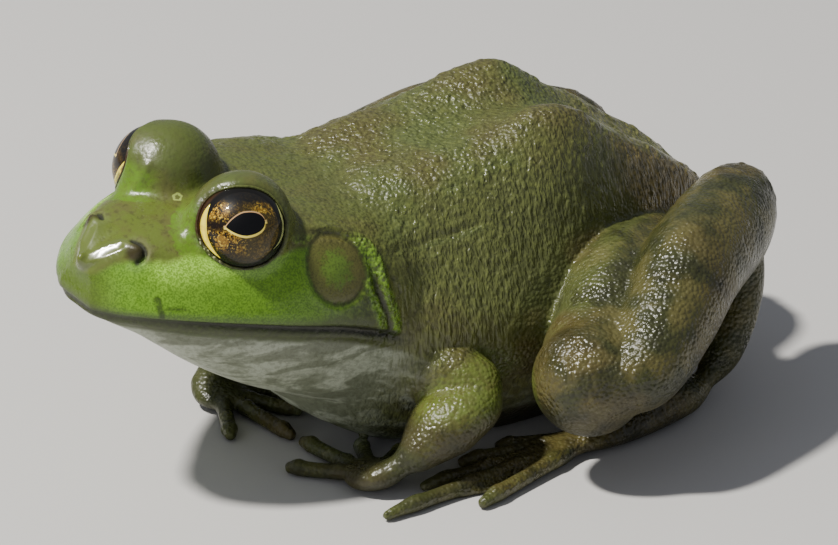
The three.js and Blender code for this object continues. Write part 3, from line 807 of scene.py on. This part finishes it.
# ---------------------------------------------------------------- materials
class Socket:
    """A node's output, with Python's operators as Math nodes."""

    def __init__(self, shader, output):
        self.shader, self.output = shader, output

    def math(self, operation, *others):
        return self.shader.node("ShaderNodeMath", {"operation": operation}, [self, *others])

    def reflected(self, operation, other):
        return self.shader.node("ShaderNodeMath", {"operation": operation}, [other, self])

    def __add__(self, other):
        return self.math("ADD", other)

    def __sub__(self, other):
        return self.math("SUBTRACT", other)

    def __mul__(self, other):
        return self.math("MULTIPLY", other)

    def __truediv__(self, other):
        return self.math("DIVIDE", other)

    def __radd__(self, other):
        return self.reflected("ADD", other)

    def __rsub__(self, other):
        return self.reflected("SUBTRACT", other)

    def __rmul__(self, other):
        return self.reflected("MULTIPLY", other)

    def __rtruediv__(self, other):
        return self.reflected("DIVIDE", other)

    def __neg__(self):
        return self * -1

    def least(self, other):
        return self.math("MINIMUM", other)

    def most(self, other):
        return self.math("MAXIMUM", other)

    def size(self):
        return self.math("ABSOLUTE")

    def band(self, low, high):
        """0 at low, 1 at high, smooth between; low may be the larger."""
        ends = [low, high, 0.0, 1.0] if low < high else [high, low, 1.0, 0.0]
        settings = {"interpolation_type": "SMOOTHSTEP", "clamp": True}
        return self.shader.node("ShaderNodeMapRange", settings, [self, *ends])


class Shader:
    """A material's nodes, made one call at a time."""

    def __init__(self, name, roughness, coat=0.0, coat_roughness=0.05, specular=0.5):
        self.material = bpy.data.materials.new(name)
        self.material.use_nodes = True
        self.tree = self.material.node_tree
        self.surface = self.tree.nodes["Principled BSDF"]
        self.surface.inputs["Roughness"].default_value = roughness
        self.surface.inputs["Specular IOR Level"].default_value = specular
        self.surface.inputs["Coat Weight"].default_value = coat
        self.surface.inputs["Coat Roughness"].default_value = coat_roughness

    def node(self, kind, settings=None, inputs=(), output=0):
        made = self.tree.nodes.new(kind)
        for key, value in (settings or {}).items():
            setattr(made, key, value)
        for key, value in inputs.items() if isinstance(inputs, dict) else enumerate(inputs):
            if isinstance(value, Socket):
                self.tree.links.new(value.output, made.inputs[key])
            else:
                made.inputs[key].default_value = value
        return Socket(self, made.outputs[output])

    def place(self):
        return self.node("ShaderNodeTexCoord", output="Object")

    def value(self, name):
        return self.node("ShaderNodeAttribute", {"attribute_name": name}, output="Fac")

    def stretched(self, vector, scale):
        return self.node("ShaderNodeMapping", {}, {"Vector": vector, "Scale": scale})

    def noise(self, vector, scale, detail=2.0, roughness=0.5, distortion=0.0):
        inputs = {"Vector": vector, "Scale": scale, "Detail": detail, "Roughness": roughness}
        return self.node("ShaderNodeTexNoise", {}, {**inputs, "Distortion": distortion}, "Fac")

    def cells(self, vector, scale, smoothness=0.4):
        inputs = {"Vector": vector, "Scale": scale, "Smoothness": smoothness}
        return self.node("ShaderNodeTexVoronoi", {"feature": "SMOOTH_F1"}, inputs, "Distance")

    def mix(self, share, first, second):
        return self.node("ShaderNodeMix", {"data_type": "RGBA"}, {0: share, 6: first, 7: second}, 2)

    def painted(self, colour, *layers):
        """A colour with others laid over it in turn, each by its own share."""
        for share, over in layers:
            colour = self.mix(share, colour, over)
        return colour

    def bump(self, height, distance, strength):
        return self.node("ShaderNodeBump", {}, {"Height": height, "Distance": distance, "Strength": strength})

    def finish(self, **links):
        names = {"colour": "Base Color", "roughness": "Roughness", "coat": "Coat Weight", "normal": "Normal"}
        for key, socket in links.items():
            self.tree.links.new(socket.output, self.surface.inputs[names[key]])
        return self.material


def tint(red, green, blue):
    """A colour given as 8-bit sRGB, in the linear light that shaders use."""
    def linear(c):
        c /= 255
        return c / 12.92 if c <= 0.04045 else ((c + 0.055) / 1.055) ** 2.4
    return (linear(red), linear(green), linear(blue), 1.0)


LIP_GREEN = tint(88, 128, 26)
CHEEK_LIGHT = tint(126, 172, 50)
CHEEK_PAINTED_LIGHT = tint(178, 232, 86)
CHEEK_DARK = tint(58, 88, 20)
SNOUT_OLIVE = tint(92, 106, 40)
CROWN_OLIVE = tint(91, 93, 47)
LID_GREEN = tint(92, 128, 30)
LID_OLIVE = tint(72, 82, 46)
TIP_OLIVE = tint(70, 82, 24)
BACK_OLIVE = tint(82, 92, 50)
BACK_BROWN = tint(84, 74, 44)
FLANK_OLIVE = tint(94, 96, 56)
PALE_MOTTLE_AND_PLEAT_PAINTED_LIGHT = tint(126, 134, 66)
PLEAT_PAINTED_SHADE = tint(44, 42, 20)
DARK_OLIVE = tint(40, 42, 22)
LEG_BROWN = tint(82, 74, 40)
LEG_OLIVE = tint(78, 84, 44)
LEG_PALE = tint(104, 106, 62)
LEG_DARK = tint(38, 38, 22)
ARM_GREEN = tint(98, 116, 46)
RUMP_BROWN_AND_PAINTED_LIGHT = tint(158, 140, 92)
THROAT_PALE = tint(156, 162, 144)
THROAT_DARK = tint(84, 90, 66)
LIP_OLIVE_AND_PAINTED_SHADE = tint(64, 72, 36)
LOWER_LIP = tint(56, 60, 34)
GAP_PAINTED_SHADE = tint(24, 26, 14)
EAR_BROWN = tint(92, 90, 46)
EAR_GREEN = tint(94, 120, 44)
NOSTRIL_BROWN = tint(48, 38, 20)
SPOT_GREEN = tint(168, 184, 96)
SCAR_DARK = tint(36, 44, 18)
IRIS_OLIVE = tint(60, 52, 24)
IRIS_BROWN = tint(27, 18, 8)
IRIS_FLECK = tint(112, 92, 42)
IRIS_BRONZE = tint(146, 108, 30)
IRIS_YELLOW = tint(246, 210, 84)
IRIS_BAR = tint(22, 14, 9)
IRIS_PAINTED_SHADE = tint(18, 19, 22)
IRIS_LOWER_SHADE = tint(20, 17, 11)
RING_PALE = tint(196, 158, 112)
RING_YELLOW = tint(250, 228, 104)
PUPIL_BLACK = tint(5, 5, 7)
RIM_DARK = tint(16, 15, 10)
RIM_BROWN = tint(52, 34, 18)
RIM_LINE = tint(12, 10, 8)
MARGIN_DARK = tint(46, 48, 24)
MARGIN_OLIVE = tint(74, 80, 38)
MARGIN_TOP = tint(84, 92, 46)
MARGIN_PALE = tint(184, 186, 140)
MARGIN_CORNER = tint(58, 34, 18)


class Skin(Shader):
    """The skin's shader, with the maps, noises and regions that its colours share."""

    MAPS = (
        "mouth", "along", "height", "crest", "ear", "eye", "fold", "bar", "nostril", "nose", "brow", "scar",
        "limb", "shank", "arm", "rise", "rear", "upward",
    )

    def __init__(self):
        super().__init__("wet frog skin", roughness=0.3, coat_roughness=0.17, specular=0.5)
        for name in self.MAPS:
            setattr(self, name, self.value(name))
        self.at = self.place()
        self.upright = self.stretched(self.at, (1, 1, 0.3))
        self.broad = self.noise(self.at, 45, 3)
        self.mid = self.noise(self.at, 190, 3)
        self.fine = self.noise(self.at, 1150, 4, 0.65)
        self.dust = self.noise(self.at, 3600, 1, 0.5)
        self.pleat = self.noise(self.upright, 1700, 1, 0.5, 0.3)
        self.behind = (self.along + (self.mid - 0.5) * 8).band(40, 52)
        steep = (self.upward.size() + (self.mid - 0.5) * 0.4).band(0.8, 0.5)
        self.flank = steep * self.behind * (1 - self.limb)
        self.below_crest = (self.crest + (self.mid - 0.5) * 1.4).band(0.5, -0.5)
        self.around_ear = self.ear.band(5.0, 6.0)
        beaded = (self.fold - 1.3).size().band(1.2, 0.4)
        self.fold_outside = beaded * self.around_ear * self.height.band(15.7, 14.2)


def back_colour(s):
    """Olive and brown, with painted light and shade on the pleats down the flanks, and a browner rump,
    lightened partly as painted light.
    """
    # painted light on the pleats' ridges and painted shade between them, following the same noise as their
    # bumps
    pleats = s.mix((s.pleat + (s.mid - 0.5) * 0.4).band(0.38, 0.62), PLEAT_PAINTED_SHADE, PALE_MOTTLE_AND_PLEAT_PAINTED_LIGHT)
    return s.painted(
        BACK_OLIVE,
        (s.broad.band(0.45, 0.62) * 0.7, BACK_BROWN),
        (s.fine.band(0.48, 0.66) * 0.3, PALE_MOTTLE_AND_PLEAT_PAINTED_LIGHT),
        (s.fine.band(0.46, 0.34) * 0.4, DARK_OLIVE),
        (s.flank * 0.24 + 0.06, pleats),
        (s.flank * 0.35, FLANK_OLIVE),
        # the rump's own brown, made lighter as painted light on its shaded side
        (s.rear * s.flank.most(0.3) * 0.75, s.mix(s.fine.band(0.4, 0.6), BACK_BROWN, RUMP_BROWN_AND_PAINTED_LIGHT)),
    )


def crown_colour(s):
    """Mottled olive over the snout and crown, and duller lids that are green in front."""
    lid_front = s.eye.band(7.5, 4) * s.along.band(20.5, 16.5) * s.height.band(18.8, 16.8)
    return s.painted(
        s.mix((s.mid + (s.fine - 0.5) * 0.5).band(0.36, 0.64), CROWN_OLIVE, SNOUT_OLIVE),
        (s.along.band(14, 36) * 0.6, CROWN_OLIVE),
        (s.fine.band(0.46, 0.36) * 0.3 + s.along.band(22, 40) * s.fine.band(0.56, 0.4) * 0.3, DARK_OLIVE),
        (s.height.band(15, 18.5) * (0.6 - s.mid.band(0.5, 0.35) * 0.3), LID_OLIVE),
        (lid_front * (s.fine.band(0.36, 0.6) * 0.5 + 0.4), LID_GREEN),
    )


def lip_colour(s):
    """Green lips and cheeks, with a painted highlight on the snout's side, darker at the tip, with painted
    shade along the mouth, and darker behind, partly as a painted shadow.
    """
    speck = (s.dust + (s.fine - 0.5) * 0.45).band(0.36, 0.66)
    # painted highlight: the snout's side under the green's edge is made lighter where the key light falls on it
    lit = s.crest.band(-4.2, -0.8) * s.along.band(6, 9) * s.along.band(22, 16)
    # painted shade under the upper lip's edge, along the mouth and broadening towards the back
    edge = s.mouth - s.along.band(20, 42) * 1.6 + (s.mid - 0.5) * 0.8
    return s.painted(
        s.mix(speck * 0.5 + s.mid.band(0.35, 0.7) * 0.15, LIP_GREEN, CHEEK_LIGHT),
        (speck.band(0.3, 0.0) * 0.22, CHEEK_DARK),
        (lit * 0.8, s.mix(speck, CHEEK_LIGHT, CHEEK_PAINTED_LIGHT)),
        # darker olive behind: partly the skin's own colour, partly a painted shadow cast by the eye
        (s.along.band(26, 42) * 0.9, s.mix(s.fine.band(0.42, 0.7), DARK_OLIVE, SNOUT_OLIVE)),
        (s.along.band(4.6, 0.5) * 0.85, TIP_OLIVE),
        (edge.band(2.0, 0.0) * 0.8, LIP_OLIVE_AND_PAINTED_SHADE),
    )


def fold_layers(s):
    """The fold over and behind the eardrum: pale beads outside a dark line of painted shade under the fold,
    with painted shadow also over the top of the eardrum.
    """
    return (
        (s.fold_outside * (s.fine.band(0.4, 0.6) * 0.45 + 0.15), CHEEK_LIGHT),
        # painted shade in the groove under the fold
        (s.fold.band(0.9, 0.2) * s.around_ear * 0.8, DARK_OLIVE),
        # painted shadow under the fold where it overhangs the top of the eardrum
        (s.fold.band(1.6, 0.4) * s.height.band(14.4, 15.6) * 0.6, DARK_OLIVE),
    )


def limb_colour(s):
    """Blotches and bars of olive and brown; the upper arms green; the shanks darker, partly as painted shade;
    the forearms and undersides darker as painted shade.
    """
    blotch = s.mid + (s.fine - 0.5) * 0.6
    upper_arm = s.arm * s.rise.band(10, 14)
    return s.painted(
        s.mix((s.broad + (s.mid - 0.5) * 0.3).band(0.42, 0.6), LEG_OLIVE, LEG_BROWN),
        (blotch.band(0.5, 0.7) * 0.6, LEG_PALE),
        (blotch.band(0.46, 0.3) * 0.6, LEG_DARK),
        (s.noise(s.at, 80, 2, 0.5, 0.6).band(0.58, 0.68) * 0.5, LEG_DARK),
        # darker shanks: partly their own mottled colour, partly painted shade on their shaded side
        (s.shank * 0.62, s.mix(s.mid.band(0.4, 0.62), LEG_DARK, LEG_BROWN)),
        (upper_arm * (s.fine.band(0.4, 0.6) * 0.3 + 0.35), ARM_GREEN),
        # painted shade on the forearms
        ((s.arm - upper_arm).band(0.0, 1.0) * 0.5, LEG_DARK),
        # painted shade on the limbs' undersides
        (s.upward.band(0.0, -0.7) * 0.5, LEG_DARK),
    )


def throat_layer(s):
    """Throat and belly: pale, with dark streaks that thicken along the jaw."""
    streaks = s.noise(s.stretched(s.at, (1.2, 0.55, 1.7)), 150, 4, 0.6, 0.8) + s.along.band(6, 44) * 0.1 - 0.05
    below_jaw = (s.mouth + (s.mid - 0.5) * 1.2).band(-1.9, -3.0) * (1 - s.along.band(44, 54))
    belly = (s.upward + (s.mid - 0.5) * 0.5).band(-0.35, -0.75) * s.behind
    throat = s.painted(
        THROAT_PALE,
        (streaks.band(0.44, 0.6) * 0.75, THROAT_DARK),
        (s.fine.band(0.42, 0.62) * 0.3, LOWER_LIP),
    )
    return below_jaw.most(belly) * (1 - s.limb), throat


def mouth_layers(s):
    """The lower lip, and the line of the mouth, painted dark as the shade in its groove and under the upper
    lip.
    """
    lip = s.mouth.band(-0.1, -0.5) * s.mouth.band(-3.2, -2.0) * (1 - s.along.band(44, 50))
    # the mouth's line: painted shade in its groove, wider and stronger towards the back where the upper lip's
    # shadow falls
    line = ((s.mouth + 0.1).size() - s.along.band(16, 40) * 0.4).band(0.85, 0.1) * (1 - s.along.band(45, 50))
    return (
        (lip * 0.9, s.mix(s.fine.band(0.4, 0.6), LOWER_LIP, LIP_OLIVE_AND_PAINTED_SHADE)),
        (line * (s.along.band(0, 18) * 0.45 + 0.5), GAP_PAINTED_SHADE),
    )


def eardrum_layers(s):
    """A brown disc with a greener middle, softly edged."""
    disc = s.mix((s.ear + (s.fine - 0.5) * 5).band(1.4, 3.4), EAR_GREEN, EAR_BROWN)
    disc = s.mix(s.dust.band(0.5, 0.35) * 0.4, disc, DARK_OLIVE)
    return (
        ((s.ear + (s.fine - 0.5) * 1.2).band(5.3, 4.5) * 0.9, disc),
        ((s.ear - 5.0).size().band(0.5, 0.15) * 0.45, DARK_OLIVE),
    )


def mark_layers(s):
    """The lids' dark edges, a brown patch at each nostril, the nostrils' openings painted dark as shade, the
    pale ring on the brow, and the scars on the lip.
    """
    return (
        (s.eye.band(0.7, 0.2) * 0.45, DARK_OLIVE),
        (s.nose.band(2.0, 1.1) * 0.85, NOSTRIL_BROWN),
        # painted shade in the nostril's opening
        (s.nostril.band(0.7, 0.25) * 0.9, GAP_PAINTED_SHADE),
        ((s.brow - 0.78).size().band(0.24, 0.08) * 0.8, SPOT_GREEN),
        (s.scar.band(0.85, 0.4) * 0.75, SCAR_DARK),
    )


def skin_beads(s, smooth):
    """Beads and pleats: round on the back, drawn out downwards on the flanks, and none where `smooth` is 1."""
    wart = s.cells(s.at, 640, 0.6)
    bead = s.cells(s.at, 1500)
    drop = s.cells(s.upright, 1350)
    back = s.behind * (1 - s.flank) * (1 - s.limb * 0.75)
    trunk = s.behind * (1 - s.limb)
    nape = s.along.band(20, 38) * (1 - s.behind) * (1 - s.below_crest)
    grains = (1 - drop) * trunk * 0.3 + s.pleat * trunk * (s.flank * 0.55 + 0.1) + (1 - wart) * back * 0.24
    grains = grains + s.fine * (back * 0.2 + nape * 0.2 + 0.06) + s.dust * 0.02
    by_region = s.limb * (0.24 - s.arm * 0.1) + back * 0.3 + nape * 0.22 + s.fold_outside * 0.4 + 0.05
    grains = grains + (1 - bead) * by_region
    return s.bump(grains * (1 - smooth), 0.0008, 0.9)


def skin_material():
    s = Skin()
    colour = s.painted(
        crown_colour(s),
        (s.behind, back_colour(s)),
        (s.bar.band(2.4, 1.4) * 0.8, SNOUT_OLIVE),
        (s.below_crest * (1 - (s.along + (s.mid - 0.5) * 4).band(40, 46)), lip_colour(s)),
        *fold_layers(s),
        (s.limb, limb_colour(s)),
        throat_layer(s),
        *mouth_layers(s),
        *eardrum_layers(s),
        *mark_layers(s),
    )
    wet = s.noise(s.at, 260, 2).band(0.35, 0.6)
    dull = s.nostril.band(1.9, 0.8) * 0.4 + s.upward.band(-0.1, -0.7) * 0.25
    smooth = s.bar.band(2.0, 1.2)
    normal = skin_beads(s, smooth)
    return s.finish(colour=colour, roughness=0.24 + wet * 0.14 + dull, coat=smooth, normal=normal)


def eye_material(name):
    """Iris and pupil by their places in the eye's own directions: u forwards and v up, each from -1 to 1."""
    s = Shader("eye " + name, roughness=0.4, coat=0.45, coat_roughness=0.03, specular=0.15)
    u, v, off = s.value("iris_forward"), s.value("iris_up"), s.value("iris_off")
    place = s.place()
    # the pupil: an almond, pointed in front and rounder behind, that rises a little to the back
    du, dv = u - PUPIL_AT[name][0], v - PUPIL_AT[name][1]
    a = (du * 0.951 - dv * 0.311) / 0.425
    b = (du * 0.311 + dv * 0.951) / 0.247
    front = (1 - a.most(0).math("POWER", 1.6)).most(0).math("POWER", 0.85)
    rear = (1 - (-a).most(0).math("POWER", 2.4)).most(0).math("POWER", 0.5)
    pupil = front.least(rear) - b.size()
    ends = (a.size() - 1).band(0.15, 0.06)
    # gold flecks on dark brown: most in front, above and below; plain olive behind
    fleck = s.noise(place, 3000, 3, 0.6, 0.6)
    glow = s.noise(place, 620, 2)
    forward = u.band(-0.3, 0.4)
    upper = (v - 0.3).size().band(0.3, 0.1) * u.band(0.3, 0.5)
    lower = (v + 0.32).size().band(0.3, 0.12) * u.band(-0.3, 0.3)
    crest = (v - 0.5).size().band(0.17, 0.06) * u.band(-0.05, -0.25)
    rich = upper.most(lower * 0.8).most(crest * 0.7)
    gold = (fleck + (glow - 0.5) * 0.6 + rich * 0.06).band(0.51, 0.575) * (rich * 0.85 + 0.12) * IRIS_GOLD[name]
    bar = (v + u * 0.12 + 0.02).size().band(0.12, 0.05) * u.band(0.38, 0.5)
    # painted shade of the upper lid, with the dark sky's painted reflection, over the top of the iris
    top = IRIS_SHADE_FROM[name]
    painted_lid_shade = (v + u.size() * 0.15).band(top, top + 0.2) * (1 - crest * 0.6)
    # the gold ring round the pupil, broad and yellow below, thin and paler above
    lower_half = b.band(0.25, -0.25)
    ring = (pupil + lower_half * 0.09 + 0.1).band(-0.05, 0.02) * ends
    iris = s.painted(
        s.mix(forward, IRIS_OLIVE, IRIS_BROWN),
        (fleck.band(0.42, 0.6) * (1 - forward) * 0.4, IRIS_FLECK),
        (gold, s.mix(fleck.band(0.55, 0.66), IRIS_BRONZE, IRIS_YELLOW)),
        (bar * 0.8, IRIS_BAR),
        (painted_lid_shade * 0.92, IRIS_PAINTED_SHADE),
        # painted shade at the foot of the iris, under the lower lid
        (v.band(-0.5, -0.74) * 0.75, IRIS_LOWER_SHADE),
        (ring, s.mix(lower_half, RING_PALE, RING_YELLOW)),
        (pupil.band(-0.03, 0.02), PUPIL_BLACK),
    )
    rim = s.mix(off.band(66, 60) * off.band(50, 52), s.mix(u.band(0.4, 0.8), RIM_DARK, RIM_BROWN), RIM_LINE)
    return s.finish(colour=s.mix(off.band(50.0, 51.5), iris, rim))


def crescent_material(name, light, dark):
    s = Shader(name, roughness=0.4, coat=0.4, coat_roughness=0.08, specular=0.2)
    speck = s.noise(s.place(), 1100, 3).band(0.45, 0.7)
    return s.finish(colour=s.mix(speck * 0.5, light, dark))


def margin_material():
    """The lids' edges: olive above, dark in front and behind, pale and beaded below in front."""
    s = Shader("lid margin", roughness=0.45, coat=0.4, coat_roughness=0.12, specular=0.2)
    place, turn = s.place(), s.value("turn")
    bead = s.cells(place, 1900)
    colour = s.painted(
        s.mix(s.noise(place, 900, 2).band(0.4, 0.6), MARGIN_DARK, MARGIN_OLIVE),
        (turn.band(40, 60) * turn.band(150, 120), MARGIN_TOP),
        (turn.band(-72, -60) * turn.band(-18, -30) * bead.band(0.45, 0.2) * 0.8, MARGIN_PALE),
        (turn.band(-26, -14) * turn.band(40, 20) * 0.8, MARGIN_CORNER),
    )
    return s.finish(colour=colour, normal=s.bump(1 - bead, 0.0002, 0.5))


# ---------------------------------------------------------------- eyes
def make_eye(name, side):
    """The whole ball, a little fuller at the cornea."""
    gaze, forward, upward = eye_axes(name)
    bm = bmesh.new()
    bmesh.ops.create_uvsphere(bm, u_segments=128, v_segments=96, radius=EYE_RADIUS)
    turn = np.stack([forward, upward, gaze], 1)
    for v in bm.verts:
        v.co = np.array(v.co) @ turn.T
    bmesh.ops.recalc_face_normals(bm, faces=bm.faces)
    piece = mesh_object("eyeball_" + name, bm)
    points = np.array([v.co for v in piece.data.vertices])
    off = np.degrees(np.arccos(np.clip(points @ gaze / EYE_RADIUS, -1, 1)))
    store(piece.data, "iris_forward", points @ forward / EYE_RADIUS)
    store(piece.data, "iris_up", points @ upward / EYE_RADIUS)
    store(piece.data, "iris_off", off)
    points = points * (1 + 0.012 * smooth_step(52, 30, off))[:, None]
    put(piece.data, from_head(points + mirrored(EYE_AT, side)))
    return piece


def lens_strip(title, name, side, edges, thickness, rows=56, columns=14):
    """A crescent that lies on the eye; edges are (degrees round, inner and outer degrees off the gaze)."""
    edges = np.array(edges, float)
    around, inner, outer = spline(edges, np.arange(rows + 1) / rows).T
    middle, half = (inner + outer) / 2, np.maximum((outer - inner) / 2, 0.15)
    turn = 2 * np.pi * np.arange(columns) / columns
    off = middle[:, None] + half[:, None] * np.cos(turn)
    lift = thickness * np.sin(turn)[None, :] * np.clip(half / half.max(), 0.2, 1)[:, None] + 0.03
    around = np.broadcast_to(around[:, None], off.shape)
    grid = eye_direction(name, off, around) * (EYE_RADIUS + lift)[..., None]
    grid[0], grid[-1] = grid[0].mean(0), grid[-1].mean(0)
    return mesh_object(title + "_" + name, wrapped(from_head(grid + mirrored(EYE_AT, side)) * MM))


def lid_margin(name, side, rows=240, columns=12):
    """The rounded edge of the lids, right round the opening."""
    around = -180 + 360 * np.arange(rows) / rows
    opening = lid_opening(name, around)
    thick = 0.22 + 0.06 * ridge(around + 45, 30)
    centre = eye_direction(name, opening + 0.8, around) * (EYE_RADIUS + MARGIN_LIFT)
    ahead = unit(np.roll(centre, -1, 0) - np.roll(centre, 1, 0))
    outward = unit(centre)
    across = np.cross(ahead, outward)
    turn = 2 * np.pi * np.arange(columns) / columns
    grid = (centre[:, None] + across[:, None] * np.cos(turn)[None, :, None] * thick[:, None, None] * 1.1
            + outward[:, None] * np.sin(turn)[None, :, None] * thick[:, None, None])
    piece = mesh_object("lid_margin_" + name, ring(from_head(grid + mirrored(EYE_AT, side)) * MM))
    store(piece.data, "turn", eye_angles(to_head(places(piece.data)), name, side)[2])
    return piece


FRONT_CRESCENT = [
    (-64, 53.4, 54.2), (-45, 51, 58), (-25, 51, 62.5), (-5, 51.5, 65), (14, 55.5, 63.5), (27, 59.5, 60.2),
]
REAR_CRESCENT = [(134, 64.6, 65), (150, 60.8, 64.6), (166, 60.2, 65), (186, 58, 62), (205, 53, 53.6)]


# ---------------------------------------------------------------- building
def dress(piece, material):
    piece.data.polygons.foreach_set("use_smooth", [True] * len(piece.data.polygons))
    piece.data.update()
    piece.data.materials.clear()
    piece.data.materials.append(material)
    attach(piece, "root")


FLESH = [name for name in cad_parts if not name.startswith("eye_")]

skin = joined_forms()
fuse(skin)
sculpt(skin)
thin_out(skin)
drop_shreds(skin)
map_regions(skin)
dress(skin, skin_material())
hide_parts(*FLESH)

YELLOW = crescent_material("front crescent", tint(246, 226, 66), tint(226, 184, 44))
PALE = crescent_material("rear crescent", tint(170, 176, 112), tint(136, 144, 84))
MARGIN = margin_material()
for name, side in SIDES.items():
    eye = make_eye(name, side)
    dress(eye, eye_material(name))
    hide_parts("eye_" + name)
    dress(lens_strip("front_crescent", name, side, FRONT_CRESCENT, 0.16), YELLOW)
    dress(lens_strip("rear_crescent", name, side, REAR_CRESCENT, 0.1), PALE)
    dress(lid_margin(name, side), MARGIN)


# ---------------------------------------------------------------- stage, light, camera
FLOOR_PALE, FLOOR_SHADE = (0.62, 0.61, 0.6, 1), (0.56, 0.555, 0.55, 1)
SKY_COLOUR, SKY_STRENGTH = (0.86, 0.9, 1.0, 1), 0.26
KEY_COLOUR = (1, 0.97, 0.9)
# in metres and watts
KEY_AT, KEY_SIZE, KEY_POWER = (-0.14, -0.6, 1.03), 0.1, 23
FILL_AT, FILL_SIZE, FILL_POWER = (0.3, -0.95, 0.22), 0.6, 1.2
LAMPS_AIM = (0, 0, 0.02)


def stage_floor():
    bm = bmesh.new()
    bmesh.ops.create_grid(bm, x_segments=1, y_segments=1, size=3)
    floor = mesh_object("floor", bm)
    s = Shader("pale floor", roughness=0.7)
    shade = s.noise(s.place(), 6, 2)
    floor.data.materials.append(s.finish(colour=s.mix(shade * 0.3, FLOOR_PALE, FLOOR_SHADE)))


def soft_box(name, place, size, power, colour=(1, 1, 1)):
    light = bpy.data.lights.new(name, "AREA")
    light.shape = "DISK"
    light.size = size
    light.energy = power
    light.color = colour
    lamp = bpy.data.objects.new(name, light)
    lamp.location = place
    lamp.rotation_euler = (Vector(LAMPS_AIM) - Vector(place)).to_track_quat("-Z", "Y").to_euler()
    bpy.context.scene.collection.objects.link(lamp)
    return lamp


def studio():
    world = bpy.data.worlds.new("studio")
    world.use_nodes = True
    sky = world.node_tree.nodes["Background"]
    sky.inputs["Color"].default_value = SKY_COLOUR
    sky.inputs["Strength"].default_value = SKY_STRENGTH
    bpy.context.scene.world = world
    soft_box("key", KEY_AT, KEY_SIZE, KEY_POWER, KEY_COLOUR)
    soft_box("fill", FILL_AT, FILL_SIZE, FILL_POWER).visible_glossy = False


CAMERA_AZIMUTH, CAMERA_ELEVATION = 57.0, 25.0
CAMERA_DISTANCE = 1000.0
SENSOR_WIDTH = 36.0
FRAME_WIDTH = 135.8  # of the view, where it passes the point aimed at
AIM = (-13.0, -8.6, 13.3)


def camera():
    a, e = math.radians(CAMERA_AZIMUTH), math.radians(CAMERA_ELEVATION)
    at = Vector((math.sin(a) * math.cos(e), -math.cos(a) * math.cos(e), math.sin(e))) * CAMERA_DISTANCE
    data = bpy.data.cameras.new("camera")
    data.sensor_width = SENSOR_WIDTH
    data.lens = SENSOR_WIDTH * CAMERA_DISTANCE / FRAME_WIDTH
    data.clip_start, data.clip_end = 0.01, 20
    lens = bpy.data.objects.new("camera", data)
    lens.location = at * MM
    lens.rotation_euler = (Vector(AIM) - at).to_track_quat("-Z", "Y").to_euler()
    bpy.context.scene.collection.objects.link(lens)
    bpy.context.scene.camera = lens


stage_floor()
studio()
camera()
